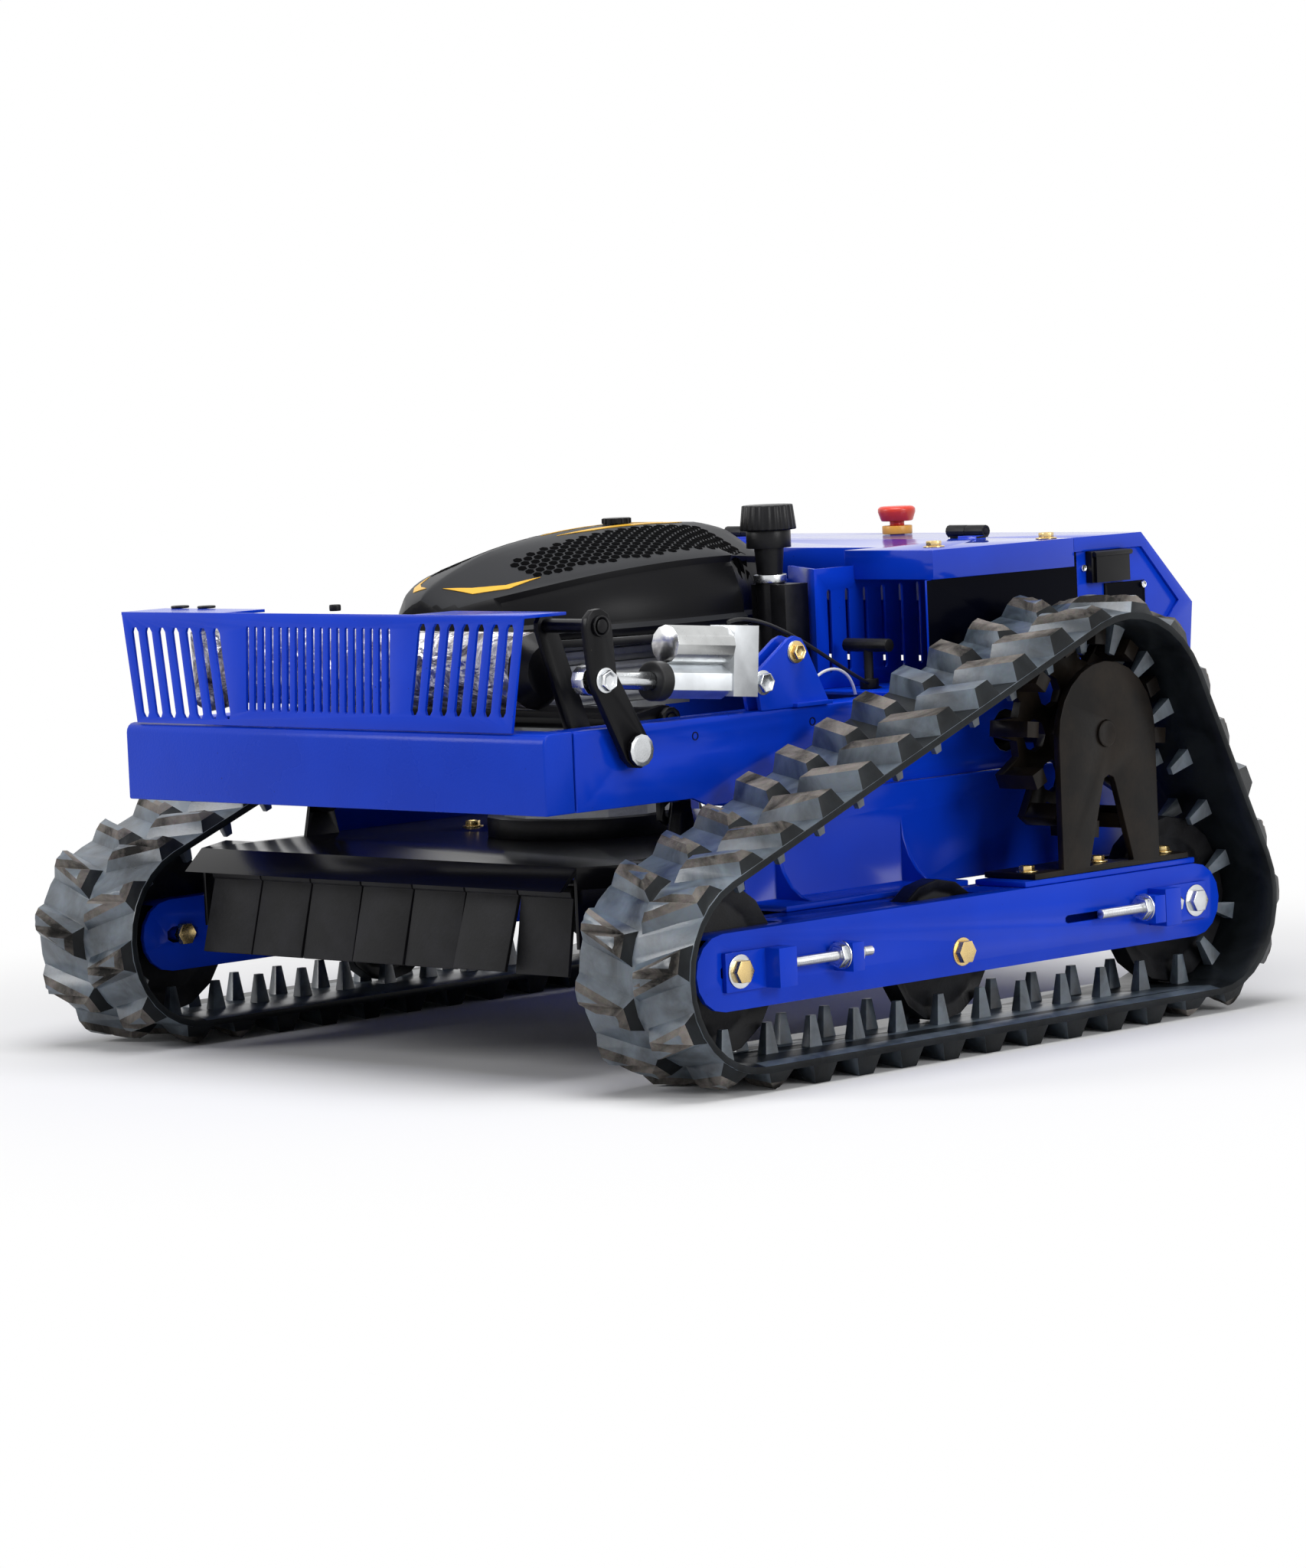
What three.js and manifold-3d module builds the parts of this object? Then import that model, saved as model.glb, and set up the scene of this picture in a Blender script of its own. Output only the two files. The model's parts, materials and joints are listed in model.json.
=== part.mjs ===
// Remote control slope mower, millimetres, +Z up, front of the machine towards -Y.
// Pieces of the +X side are built once and mirrored for the -X side.
import * as THREE from "three";
import { mergeVertices } from "three/addons/utils/BufferGeometryUtils.js";
import Module from "manifold-3d";

const wasm = await Module();
wasm.setup();

// Shared clearances and sheet sizes
const gap = 0.3;
const overrun = 30;
const sheet = 4;
const frameCentreY = 42;

// Undercarriage: places of the three wheels and the sprocket in the side view, y then z
const frontWheel = { y: -325, z: 115, beltRadius: 87 };
const rearWheel = { y: 346.6, z: 115, beltRadius: 87 };
const midWheel = { y: -5.5, z: 99.5, beltRadius: 71 };
const sprocket = {
  y: 226, z: 298, beltRadius: 113, teeth: 12, tipInset: 6, toothDepth: 30, tipHalf: 8, footHalf: 12,
  plate: 10, holeRadius: 17, holeInset: 27, holes: 6, hubRadius: 28, hubLength: 14, barDepth: 17,
};
const wheel = {
  halfWidth: 12, hubHalf: 17, hubRadius: 22, webHalf: 5, webRadius: 66, sides: 16, axleRadius: 8,
};
const belt = {
  centreX: 407, width: 150, lipDrop: 2.8, lipWidth: 14, thickness: 10.5, neutral: 4, links: 34, arcStep: 12,
  hornOffset: 20, hornHeight: 30, hornLength: 18, hornWidth: 12, hornTipLength: 8, hornTipWidth: 6, bite: 2,
  lugHeight: 17.5, lugLength: 34, lugTipLength: 20, lugSkew: 14, lugInner: 3, lugEdge: 1, lugTipInset: 6,
};

// Track beam, an inverted channel, and what stands on it
const beam = {
  x0: 364.6, x1: 447.5, endRadius: 37.5, z: 114.9, frontY: -341.2, rearY: 352.7, wall: 5, slotHalf: 15,
  forkFrontY: -236, forkRearY: 258, midSlot: 52, lugDepth: 16, lugHalf: 14, lugReach: 26,
  lugFrontY: -190, lugRearY: 259, boltSlot: 44, spareSlotY: 178, spareSlotLength: 57,
};
const tension = {
  plateHalf: 19, plate: 5, frontInY: -290, rearInY: 302, overhang: 24, blockDepth: 24, blockReach: 24,
  rodRadius: 5, frontTipY: -150, rearTipY: 190, headRadius: 12, head: 8, nutRadius: 10, nut: 9, rodRise: 2,
};
const saddle = { y0: 94.5, y1: 356.5, plate: 6, inner: 12, outer: 2 };
const arch = {
  y: 228, z: 297, radius: 74, plate: 8, outerX: 445, base: 6, mouthHalf: 36, mouthTop: 255, mouthTopHalf: 10,
  bossRadius: 24, boss: 7, baseInner: 376, baseY0: 110, baseY1: 347,
};

// Chassis
const rail = {
  outerX: 310, top: 346, bottom: 268, flange: 40, frontY: -393, rearY: 441, dip: 9, dipY: -214,
  dipStartY: -235,
};
const sidePlate = {
  thickness: 6, frontY: -205, rearY: 395, footEndY: 90, footReach: 56, flange: 44,
};
const gusset = { ys: [-128, 55], thickness: 5, height: 66, reach: 48 };
const bumper = { frontY: -433.6, top: 346.4, bottom: 268, depth: 39, bend: 10 };
const guard = {
  y: -430, thickness: 3, top: 460, bottom: 346.7, topLeft: -312, topRight: 285, bottomLeft: -295,
  bottomRight: 262.5, bendLeft: -155, bendRight: 127, flange: 58,
};
const leftSlots = { first: -286.5, pitch: 21.2, count: 7, width: 10.5, low: 352, high: 445, slope: -0.128 };
const midSlots = { first: -119, pitch: 12.34, count: 18, width: 4.5, low: 361, high: 447, slope: 0.07 };
const rightSlots = { first: 134, pitch: 20.75, count: 7, width: 10.5, low: 361, high: 452, slope: 0.206 };
const tray = { frontY: 118, rearY: 440, wingX: 192, wingY: 52 };
const crossTube = { y: 132, size: 34, wall: 4, low: 280 };
const motor = {
  radius: 34, length: 88, flangeRadius: 38, flange: 6, shaftRadius: 12.5, shaftHole: 22, room: 4,
};

// Rear box
const rearBox = {
  frontY: 113, top: 485.4, lidTop: 489.7, lip: 30, skin: 3, seamY: 337.5,
  wingX: 190, wingY: 120, mainY: 170, slopeY: 524, slopeZ: 411, foldY: 445, tailZ: 350, tailY: 452,
};
const hinge = { xs: [-165, 165], radius: 6.5, pin: 3.5, length: 52, rise: 7.5, leaf: 16 };
const vent = {
  x: 203, y0: 60, y1: 332, low: 350.6, top: 474, sheet: 3, turnX: 89, turnY: 132, slotPitch: 27,
  slotWidth: 6, slots: 9, slotLow: 366, slotHigh: 452, slotEdge: 21,
};
const battery = { x0: -250, x1: -40, y0: 200, y1: 330, height: 90 };
const estop = {
  x: -17, y: 424, collarRadius: 16.5, collar: 9, headRadius: 20.5, head: 16, stemRadius: 8, stemDepth: 22,
  lift: 10, footShare: 0.84, rimLowShare: 0.6, rimHighShare: 0.85, crownShare: 0.85,
};
const socket = { y0: 358, y1: 417, z0: 441, z1: 474, depth: 9, wellRadius: 11, well: 6, cap: 3.5, capPin: 3 };

// Lift linkage
const lift = {
  y: -321, z: 323, shaftRadius: 12, headRadius: 16, head: 5, armInset: 10, arm: 6, armEndY: -211,
  armEndZ: 342.4, tubeRadius: 12, topY: -366.7, topZ: 446, plateHalf: 15, topShare: 0.8, stubRadius: 7,
  headZ: 393.5, headY: -361.4,
};
const lever = { offset: 6, plate: 8, half: 18, waistShare: 0.9, topShare: 0.95, pinRadius: 5, pinInnerX: 289 };
const link = {
  inset: 23, plate: 6, half: 13, lowZ: 250, slotHalfY: 16, slotHalfZ: 8.5, headHalfY: 24, headHalfZ: 17,
  lowShare: 0.8,
};
const actuator = {
  x: 300, y: -133, z: 374, eyeX: 8, eyeRadius: 15, eyeHole: 8.6, rodRadius: 9, tubeHalf: 17, tubeStart: 46,
  tubeEnd: 141, housingStart: 12, housingEnd: 46, housingLow: -14, housingHigh: 56, motorRadius: 19,
  motorRise: 36, motorEnd: 125, rodInside: 28, boreStart: 62, eyeShare: 0.8, clevisHalf: 6,
  clevisRadius: 12, pinRadius: 5,
};
const bracket = {
  y0: -136, y1: -40, cheek: 5, cheekGap: 0.6, footHalf: 18, footY0: -127, bossY: -85, bossZ: 401,
  bossRadius: 16,
};

// Mower unit
const deck = {
  sideRoom: 32, top: 212, frontY: -367, rearY: 150, plate: 4, hemLow: 190, hemReach: 24, skirtLow: 132,
  wingReach: 44, wingBackY: -296, rodY: -358, rodZ: 186, rodRadius: 3, postY: 12,
};
const flap = {
  between: 2.3, endRoom: 10.95, length: 82, thickness: 4, eyeRadius: 7,
  leanDegrees: [15, 15, 14, 15, 14, 18, 9],
};
const blade = {
  y: -80, radius: 212, halfWidth: 27, low: 142, thickness: 6, spindle: 12, boss: 30, bossHeight: 18,
  spindleTop: 236, tipTaper: 14,
};
const engine = {
  y: -80, baseHalf: 105, base: 20, caseRadius: 88, caseTop: 340, finHalfX: 66, finFrontY: -192, finBackY: 10,
  fins: 5, finThickness: 7, finPitch: 14, coreInset: 14, top: 412,
  plate: 7.6,
};
const cowl = { wall: 5, low: 419.9 };
const muffler = {
  y: -350, z: 400, radius: 38, halfX: 232, endRadius: 26, taper: 16, pipeRadius: 14, pipeX: 60,
};
const fuel = {
  x: 155, y: 45, tankX0: 138, tankX1: 186, tankY0: 34, tankY1: 68, tankLow: 330, tankTop: 459.7,
  baseRadius: 15, neckRadius: 8, neckLow: 466, collarLow: 497, collarRadius: 23, capLow: 515.3, capTop: 541,
  capRadius: 29.5, ridges: 24, armLow: 350, armHigh: 384, ridge: 1.5,
};
const grip = { x: 250, y: 86, z: 395, radius: 7, length: 60, stemRadius: 5, footRadius: 10, foot: 10 };

// Cowl sections from the nose to the back: place, half widths at the foot and shoulder, three heights
const cowlLine = {
  ys: [-300, -285, -240, -165, -60, 8, 30, 95],
  footHalves: [38, 57, 100, 148, 168, 158, 134, 118],
  shoulderHalves: [28, 46, 86, 130, 148, 140, 118, 102],
  sideHeights: [453, 459, 470, 486, 493, 492, 490, 485],
  browHeights: [460, 471, 486, 504, 520, 521, 520, 517],
  crestHeights: [465, 478, 497, 521, 528, 528, 527, 524],
};
const cowlBrowShare = 0.45;

// Places worked out from the sizes above
const deckHalf = rail.outerX - deck.sideRoom;
const linkX = deckHalf - link.inset;
const armX = linkX - lift.armInset;
const leverX = rail.outerX + lever.offset;
const cowlStations = cowlLine.ys.map((y, i) => ({
  y,
  foot: cowlLine.footHalves[i],
  shoulder: cowlLine.shoulderHalves[i],
  side: cowlLine.sideHeights[i],
  brow: cowlLine.browHeights[i],
  crest: cowlLine.crestHeights[i],
}));

// Solids from three.js geometry
function toSolid(geometry) {
  const plain = geometry.clone();
  plain.deleteAttribute("normal");
  plain.deleteAttribute("uv");
  const merged = mergeVertices(plain);
  const p = merged.attributes.position.array;
  const source = merged.index.array;
  const triangles = [];
  let volume = 0;
  for (let i = 0; i < source.length; i += 3) {
    const [a, b, c] = [source[i], source[i + 1], source[i + 2]];
    if (a === b || b === c || c === a) continue;
    triangles.push([a, b, c]);
    const va = new THREE.Vector3().fromArray(p, a * 3);
    const vb = new THREE.Vector3().fromArray(p, b * 3);
    const vc = new THREE.Vector3().fromArray(p, c * 3);
    volume += va.dot(vb.cross(vc));
  }
  const ordered = volume < 0 ? triangles.map(([a, b, c]) => [a, c, b]) : triangles;
  return new wasm.Manifold(new wasm.Mesh({
    numProp: 3,
    vertProperties: new Float32Array(p),
    triVerts: new Uint32Array(ordered.flat()),
  }));
}

function toGeometry(solid) {
  const mesh = solid.getMesh();
  const geometry = new THREE.BufferGeometry();
  geometry.setAttribute("position", new THREE.BufferAttribute(new Float32Array(mesh.vertProperties), 3));
  geometry.setIndex(new THREE.BufferAttribute(new Uint32Array(mesh.triVerts), 1));
  geometry.computeVertexNormals();
  return geometry;
}

const join = (solids) => solids.reduce((all, solid) => all.add(solid));
const cut = (solid, tools) => tools.reduce((left, tool) => left.subtract(tool), solid);
const boreRadius = (radius, sides) => (radius + gap) / Math.cos(Math.PI / sides);

function box([x0, x1], [y0, y1], [z0, z1]) {
  const geometry = new THREE.BoxGeometry(x1 - x0, y1 - y0, z1 - z0);
  geometry.translate((x0 + x1) / 2, (y0 + y1) / 2, (z0 + z1) / 2);
  return toSolid(geometry);
}

// An outline drawn in the two other axes and drawn out along the named axis
function prism(axis, outline, from, to, holes = []) {
  const points = (list) => list.map(([u, v]) => new THREE.Vector2(u, v));
  const shape = new THREE.Shape(points(outline));
  shape.holes = holes.map((hole) => new THREE.Path(points(hole)));
  const geometry = new THREE.ExtrudeGeometry(shape, { depth: to - from, bevelEnabled: false });
  const places = {
    x: new THREE.Matrix4().set(0, 0, 1, from, 1, 0, 0, 0, 0, 1, 0, 0, 0, 0, 0, 1),
    y: new THREE.Matrix4().set(1, 0, 0, 0, 0, 0, -1, to, 0, 1, 0, 0, 0, 0, 0, 1),
    z: new THREE.Matrix4().makeTranslation(0, 0, from),
  };
  geometry.applyMatrix4(places[axis]);
  return toSolid(geometry);
}

function ring(u, v, radius, sides, turn = 0) {
  const step = (2 * Math.PI) / sides;
  return Array.from({ length: sides }, (_, i) => [
    u + radius * Math.cos(turn + step * i),
    v + radius * Math.sin(turn + step * i),
  ]);
}

const rod = (axis, u, v, radius, from, to, sides = 12) => prism(axis, ring(u, v, radius, sides), from, to);

// A round-ended slot outline with the given overall length and width
function slot(u, v, length, width, upright = false) {
  const half = (length - width) / 2;
  const turns = [-90, -30, 30, 90, 90, 150, 210, 270];
  return turns.map((degrees, i) => {
    const a = THREE.MathUtils.degToRad(degrees);
    const along = (i < 4 ? half : -half) + (width / 2) * Math.cos(a);
    const across = (width / 2) * Math.sin(a);
    return upright ? [u - across, v + along] : [u + along, v + across];
  });
}

// A turned piece about an axis: the profile gives radius and place along the axis
function turned(axis, u, v, profile, sides) {
  const points = profile.map(([radius, along]) => new THREE.Vector2(radius, along));
  const geometry = new THREE.LatheGeometry(points, sides);
  if (axis === "x") {
    geometry.rotateZ(-Math.PI / 2);
    geometry.translate(0, u, v);
  } else {
    geometry.rotateX(Math.PI / 2);
    geometry.translate(u, v, 0);
  }
  return toSolid(geometry);
}

// Rings of points joined one to the next, either closed on itself or capped at both ends
function loft(sections, closed = false) {
  const count = sections[0].length;
  const index = [];
  const spans = closed ? sections.length : sections.length - 1;
  for (let i = 0; i < spans; i += 1) {
    const a = i * count;
    const b = ((i + 1) % sections.length) * count;
    for (let j = 0; j < count; j += 1) {
      const k = (j + 1) % count;
      index.push(a + j, a + k, b + k, a + j, b + k, b + j);
    }
  }
  const last = (sections.length - 1) * count;
  for (let j = 1; j < count - 1 && !closed; j += 1) {
    index.push(0, j + 1, j);
    index.push(last, last + j, last + j + 1);
  }
  const geometry = new THREE.BufferGeometry();
  geometry.setAttribute("position", new THREE.Float32BufferAttribute(sections.flat(2), 3));
  geometry.setIndex(index);
  return toSolid(geometry);
}

// Plate outline between two round ends, in the side view
function strap(y0, z0, r0, y1, z1, r1, steps = 5) {
  const turn = Math.atan2(z1 - z0, y1 - y0);
  const arc = (y, z, r, from) => Array.from({ length: steps + 1 }, (_, i) => {
    const a = from + (Math.PI * i) / steps;
    return [y + r * Math.cos(a), z + r * Math.sin(a)];
  });
  return [...arc(y1, z1, r1, turn - Math.PI / 2), ...arc(y0, z0, r0, turn + Math.PI / 2)];
}

// Materials
const paint = (color, roughness, metalness) => new THREE.MeshStandardMaterial({ color, roughness, metalness });
const materials = {
  blue: paint(0x2038c8, 0.38, 0.1),
  black: paint(0x17181a, 0.5, 0.2),
  rubber: paint(0x24272b, 0.85, 0),
  wheel: paint(0x1b1c1e, 0.7, 0),
  cowl: paint(0x34373b, 0.7, 0),
  silver: paint(0xc8ccd2, 0.35, 0.9),
  steel: paint(0x9aa0a6, 0.4, 0.9),
  castAlloy: paint(0xa4a8ac, 0.55, 0.8),
  heatWrap: paint(0xb9bcc0, 0.45, 0.85),
  red: paint(0xd8261a, 0.35, 0),
  yellow: paint(0xf2ad24, 0.45, 0),
  darkCase: paint(0x2a2c30, 0.6, 0),
};

const group = new THREE.Group();
group.name = "slope_mower";

function place(name, solid, material) {
  const mesh = new THREE.Mesh(toGeometry(solid), materials[material]);
  mesh.name = name;
  mesh.position.set(0, -frameCentreY, 0);
  group.add(mesh);
}

function mirrored(solid) {
  const geometry = toGeometry(solid);
  geometry.scale(-1, 1, 1);
  return toSolid(geometry);
}

function placePair(name, solid, material) {
  place(`${name}_left`, solid, material);
  place(`${name}_right`, mirrored(solid), material);
}

// Belt path: arcs round the rear wheel, the sprocket and the front wheel, with straight runs between
const corners = [rearWheel, sprocket, frontWheel];
const outwardAngle = (from, to) => {
  const dy = to.y - from.y;
  const dz = to.z - from.z;
  const lean = Math.acos((from.beltRadius - to.beltRadius) / Math.hypot(dy, dz));
  return Math.atan2(dz, dy) - lean;
};
const legs = corners.map((corner, i) => {
  const before = corners[(i + 2) % 3];
  const after = corners[(i + 1) % 3];
  const start = outwardAngle(before, corner);
  const sweep = THREE.MathUtils.euclideanModulo(outwardAngle(corner, after) - start, 2 * Math.PI);
  const pull = after.beltRadius - corner.beltRadius;
  const run = Math.sqrt((after.y - corner.y) ** 2 + (after.z - corner.z) ** 2 - pull ** 2);
  return { corner, start, sweep, run, arc: sweep * (corner.beltRadius + belt.neutral) };
});
const beltLength = legs.reduce((sum, leg) => sum + leg.arc + leg.run, 0);
const linkPitch = beltLength / belt.links;

// Point of the belt at a place along it: the foot on the inner face and the outward normal
function beltAt(s) {
  let rest = THREE.MathUtils.euclideanModulo(s, beltLength);
  for (const leg of legs) {
    const { corner, start, sweep, run, arc } = leg;
    if (rest <= arc) {
      const a = start + (sweep * rest) / arc;
      const normal = [Math.cos(a), Math.sin(a)];
      const foot = [corner.y + corner.beltRadius * normal[0], corner.z + corner.beltRadius * normal[1]];
      return { normal, foot };
    }
    rest -= arc;
    if (rest <= run) {
      const a = start + sweep;
      const normal = [Math.cos(a), Math.sin(a)];
      const y = corner.y + corner.beltRadius * normal[0] - normal[1] * rest;
      const z = corner.z + corner.beltRadius * normal[1] + normal[0] * rest;
      return { normal, foot: [y, z] };
    }
    rest -= run;
  }
  return beltAt(0);
}

// A point at a place across the belt, along it and away from its inner face
function beltPoint(station, x, along, out) {
  const { normal, foot } = station;
  return [
    belt.centreX + x,
    foot[0] + normal[0] * out - normal[1] * along,
    foot[1] + normal[1] * out + normal[0] * along,
  ];
}

const sprocketMiddle = legs[0].arc + legs[0].run + legs[1].arc / 2;
const sprocketTurn = legs[1].start + legs[1].sweep / 2;
const beltHalf = belt.width / 2;

function makeBelt() {
  const arcStep = THREE.MathUtils.degToRad(belt.arcStep);
  const section = [
    [-beltHalf, belt.lipDrop],
    [-beltHalf + belt.lipWidth, 0],
    [beltHalf - belt.lipWidth, 0],
    [beltHalf, belt.lipDrop],
    [beltHalf, belt.thickness - belt.bite / 2],
    [-beltHalf, belt.thickness - belt.bite / 2],
  ];
  const sections = [];
  for (const leg of legs) {
    const steps = Math.ceil(leg.sweep / arcStep);
    for (let i = 0; i <= steps; i += 1) {
      const a = leg.start + (leg.sweep * i) / steps;
      const normal = [Math.cos(a), Math.sin(a)];
      const { y, z, beltRadius } = leg.corner;
      const station = { normal, foot: [y + beltRadius * normal[0], z + beltRadius * normal[1]] };
      sections.push(section.map(([x, out]) => beltPoint(station, x, 0, out)));
    }
  }
  const pieces = [loft(sections, true)];
  for (let i = 0; i < belt.links; i += 1) {
    const s = sprocketMiddle + linkPitch * i;
    for (const side of [-1, 1]) {
      pieces.push(makeHorn(beltAt(s), side * belt.hornOffset));
      pieces.push(makeLug(s + (side > 0 ? linkPitch / 2 : 0), side));
    }
  }
  return join(pieces);
}

function makeHorn(station, x) {
  const level = (width, length, out) => [[-1, -1], [1, -1], [1, 1], [-1, 1]].map(
    ([u, v]) => beltPoint(station, x + (u * width) / 2, (v * length) / 2, out),
  );
  return loft([
    level(belt.hornWidth, belt.hornLength, belt.bite),
    level(belt.hornTipWidth, belt.hornTipLength, -belt.hornHeight),
  ]);
}

// A chevron lug that follows the belt's curve: its inner end leads, its outer end reaches the belt's edge
function makeLug(s, side) {
  const level = (length, edge, inset, out) => {
    const inner = side * (belt.lugInner + inset);
    const outer = side * (beltHalf - edge);
    return [
      beltPoint(beltAt(s + belt.lugSkew - length / 2), inner, 0, out),
      beltPoint(beltAt(s - belt.lugSkew / 2 - length / 2), outer, 0, out),
      beltPoint(beltAt(s - belt.lugSkew / 2 + length / 2), outer, 0, out),
      beltPoint(beltAt(s + belt.lugSkew + length / 2), inner, 0, out),
    ];
  };
  const low = belt.thickness - belt.bite;
  return loft([
    level(belt.lugLength, belt.lugEdge, 0, low),
    level(belt.lugTipLength, belt.lugTipInset, belt.lugTipInset, belt.thickness + belt.lugHeight),
  ]);
}

placePair("rubber_belt", makeBelt(), "rubber");

// Wheels: a rim that runs between the horn rows, a thin web and a longer hub
function makeWheel(centre, radius) {
  const { halfWidth, hubHalf, hubRadius, webHalf, webRadius, sides, axleRadius } = wheel;
  const web = Math.min(webRadius, radius - halfWidth);
  const bore = boreRadius(axleRadius, sides);
  const side = [[bore, hubHalf], [hubRadius, hubHalf], [web, webHalf], [radius, halfWidth]];
  const profile = [...side, ...side.map(([r, a]) => [r, -a]).reverse(), side[0]];
  const about = profile.map(([r, a]) => [r, belt.centreX + a]);
  return turned("x", centre.y, centre.z, about, sides);
}

const rimRadius = (at) => at.beltRadius * Math.cos(THREE.MathUtils.degToRad(belt.arcStep / 2)) - gap;
placePair("front_wheel", makeWheel(frontWheel, rimRadius(frontWheel)), "wheel");
placePair("middle_wheel", makeWheel(midWheel, midWheel.beltRadius), "wheel");
placePair("rear_wheel", makeWheel(rearWheel, rimRadius(rearWheel)), "wheel");

// Sprocket: a lobed plate on the chassis side of the horns, with cross bars that sit between them
const archInnerX = arch.outerX - arch.plate;
const sprocketPlateX = belt.centreX - belt.hornOffset - sprocket.plate / 2;

function makeSprocket() {
  const { y, z, teeth, tipHalf, footHalf, plate } = sprocket;
  const tipRadius = sprocket.beltRadius - sprocket.tipInset;
  const rootRadius = tipRadius - sprocket.toothDepth;
  const barInner = tipRadius - sprocket.barDepth;
  const holeCircle = rootRadius - sprocket.holeInset;
  const pitch = (2 * Math.PI) / teeth;
  const polar = (radius, half, turn) => {
    const a = turn + Math.asin(half / radius);
    return [y + radius * Math.cos(a), z + radius * Math.sin(a)];
  };
  const outline = [];
  const bars = [];
  for (let i = 0; i < teeth; i += 1) {
    const a = sprocketTurn + pitch * (i + 0.5);
    const tooth = [
      polar(rootRadius, -footHalf, a),
      polar(tipRadius, -tipHalf, a),
      polar(tipRadius, tipHalf, a),
      polar(rootRadius, footHalf, a),
    ];
    outline.push(...tooth);
    const foot = [polar(barInner, tipHalf, a), polar(barInner, -tipHalf, a)];
    const barEnd = belt.centreX + belt.hornOffset + belt.hornWidth / 2;
    bars.push(prism("x", [tooth[1], tooth[2], ...foot], sprocketPlateX + plate / 2, barEnd));
  }
  const holes = [];
  for (let i = 0; i < sprocket.holes; i += 1) {
    const a = (2 * Math.PI * i) / sprocket.holes;
    const at = [y + holeCircle * Math.cos(a), z + holeCircle * Math.sin(a)];
    holes.push(ring(at[0], at[1], sprocket.holeRadius, 8));
  }
  const disc = prism("x", outline, sprocketPlateX, sprocketPlateX + plate, holes);
  const hubEnd = sprocketPlateX + plate + sprocket.hubLength;
  const hub = rod("x", y, z, sprocket.hubRadius, sprocketPlateX - sprocket.hubLength, hubEnd);
  const shaft = rod("x", y, z, motor.shaftRadius, rail.outerX - motor.length / 2, arch.outerX - gap);
  return join([disc, hub, shaft, ...bars]);
}

placePair("drive_sprocket", makeSprocket(), "black");

// Track beam: inverted channel with round ends, wheel slots in its web and bolt slots in its plates
function makeBeam() {
  const { x0, x1, endRadius, z, frontY, rearY, wall, slotHalf } = beam;
  const bar = prism("x", strap(frontY, z, endRadius, rearY, z, endRadius, 8), x0, x1);
  const hollow = box(
    [x0 + wall, x1 - wall],
    [frontY - endRadius - overrun, rearY + endRadius + overrun],
    [z - endRadius - overrun, z + endRadius - wall],
  );
  const wheelSlots = [
    [frontY - endRadius - overrun, beam.forkFrontY],
    [midWheel.y - beam.midSlot, midWheel.y + beam.midSlot],
    [beam.forkRearY, rearY + endRadius + overrun],
  ].map((ys) => box([belt.centreX - slotHalf, belt.centreX + slotHalf], ys, [z, z + endRadius + overrun]));
  const slotWidth = 2 * (wheel.axleRadius + gap);
  const boltSlots = [frontWheel, rearWheel].map((at) => {
    const outline = slot(at.y, at.z, beam.boltSlot, slotWidth + gap);
    return prism("x", outline, x0 - overrun, x1 + overrun);
  });
  const spareSlot = slot(beam.spareSlotY, z, beam.spareSlotLength, slotWidth / 2);
  const spare = prism("x", spareSlot, x1 - overrun, x1 + overrun);
  const lugs = [beam.lugFrontY, beam.lugRearY].map((y) => {
    const high = [z - beam.lugHalf, z + beam.lugHalf];
    const block = box([x1 - wall, x1 + beam.lugReach], [y, y + beam.lugDepth], high);
    const holeRadius = boreRadius(tension.rodRadius, 12);
    return block.subtract(rod("y", x1 + tension.overhang / 2, rodZ, holeRadius, y - overrun, y + overrun, 12));
  });
  const axle = rod("x", midWheel.y, midWheel.z, wheel.axleRadius, x0 - tension.head, x1 + tension.head);
  const heads = [x0 - tension.head, x1 - gap].map((x) => (
    prism("x", ring(midWheel.y, midWheel.z, tension.headRadius, 6), x, x + tension.head + gap)
  ));
  return join([cut(bar, [hollow, ...wheelSlots, ...boltSlots, spare]), ...lugs, axle, ...heads]);
}

const rodZ = beam.z + tension.rodRise;
placePair("track_beam", makeBeam(), "blue");

// Screw tensioner: angle plate with the wheel's axle bolt, nut block, threaded rod and lock nut
function makeTensioner(at, inY, tipY, lugY) {
  const { plateHalf, plate, blockDepth, blockReach, rodRadius, headRadius, head, nutRadius, nut } = tension;
  const toward = Math.sign(tipY - at.y);
  const span = (a, b) => [Math.min(a, b), Math.max(a, b)];
  const faceX = beam.x1 + gap;
  const rodX = beam.x1 + tension.overhang / 2;
  const high = [at.z - plateHalf, at.z + plateHalf];
  const angle = box([faceX, faceX + plate], span(at.y - toward * plateHalf, inY), high);
  const block = box([faceX, faceX + blockReach], span(inY, inY + toward * blockDepth), high);
  const axle = rod("x", at.y, at.z, wheel.axleRadius, beam.x0 - gap - head, faceX + plate + head);
  const outerHead = prism("x", ring(at.y, at.z, headRadius, 6), faceX + plate, faceX + plate + head);
  const innerHead = prism("x", ring(at.y, at.z, headRadius, 6), beam.x0 - gap - head, beam.x0 - gap);
  const screw = rod("y", rodX, rodZ, rodRadius, ...span(inY, tipY), 12);
  const nearSide = toward > 0 ? lugY - gap - nut : lugY + beam.lugDepth + gap;
  const lockNut = prism("y", ring(rodX, rodZ, nutRadius, 6), nearSide, nearSide + nut);
  return join([angle, block, axle, outerHead, innerHead, screw, lockNut]);
}

const frontScrew = makeTensioner(frontWheel, tension.frontInY, tension.frontTipY, beam.lugFrontY);
const rearScrew = makeTensioner(rearWheel, tension.rearInY, tension.rearTipY, beam.lugRearY);
placePair("front_tensioner", frontScrew, "silver");
placePair("rear_tensioner", rearScrew, "silver");

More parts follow.
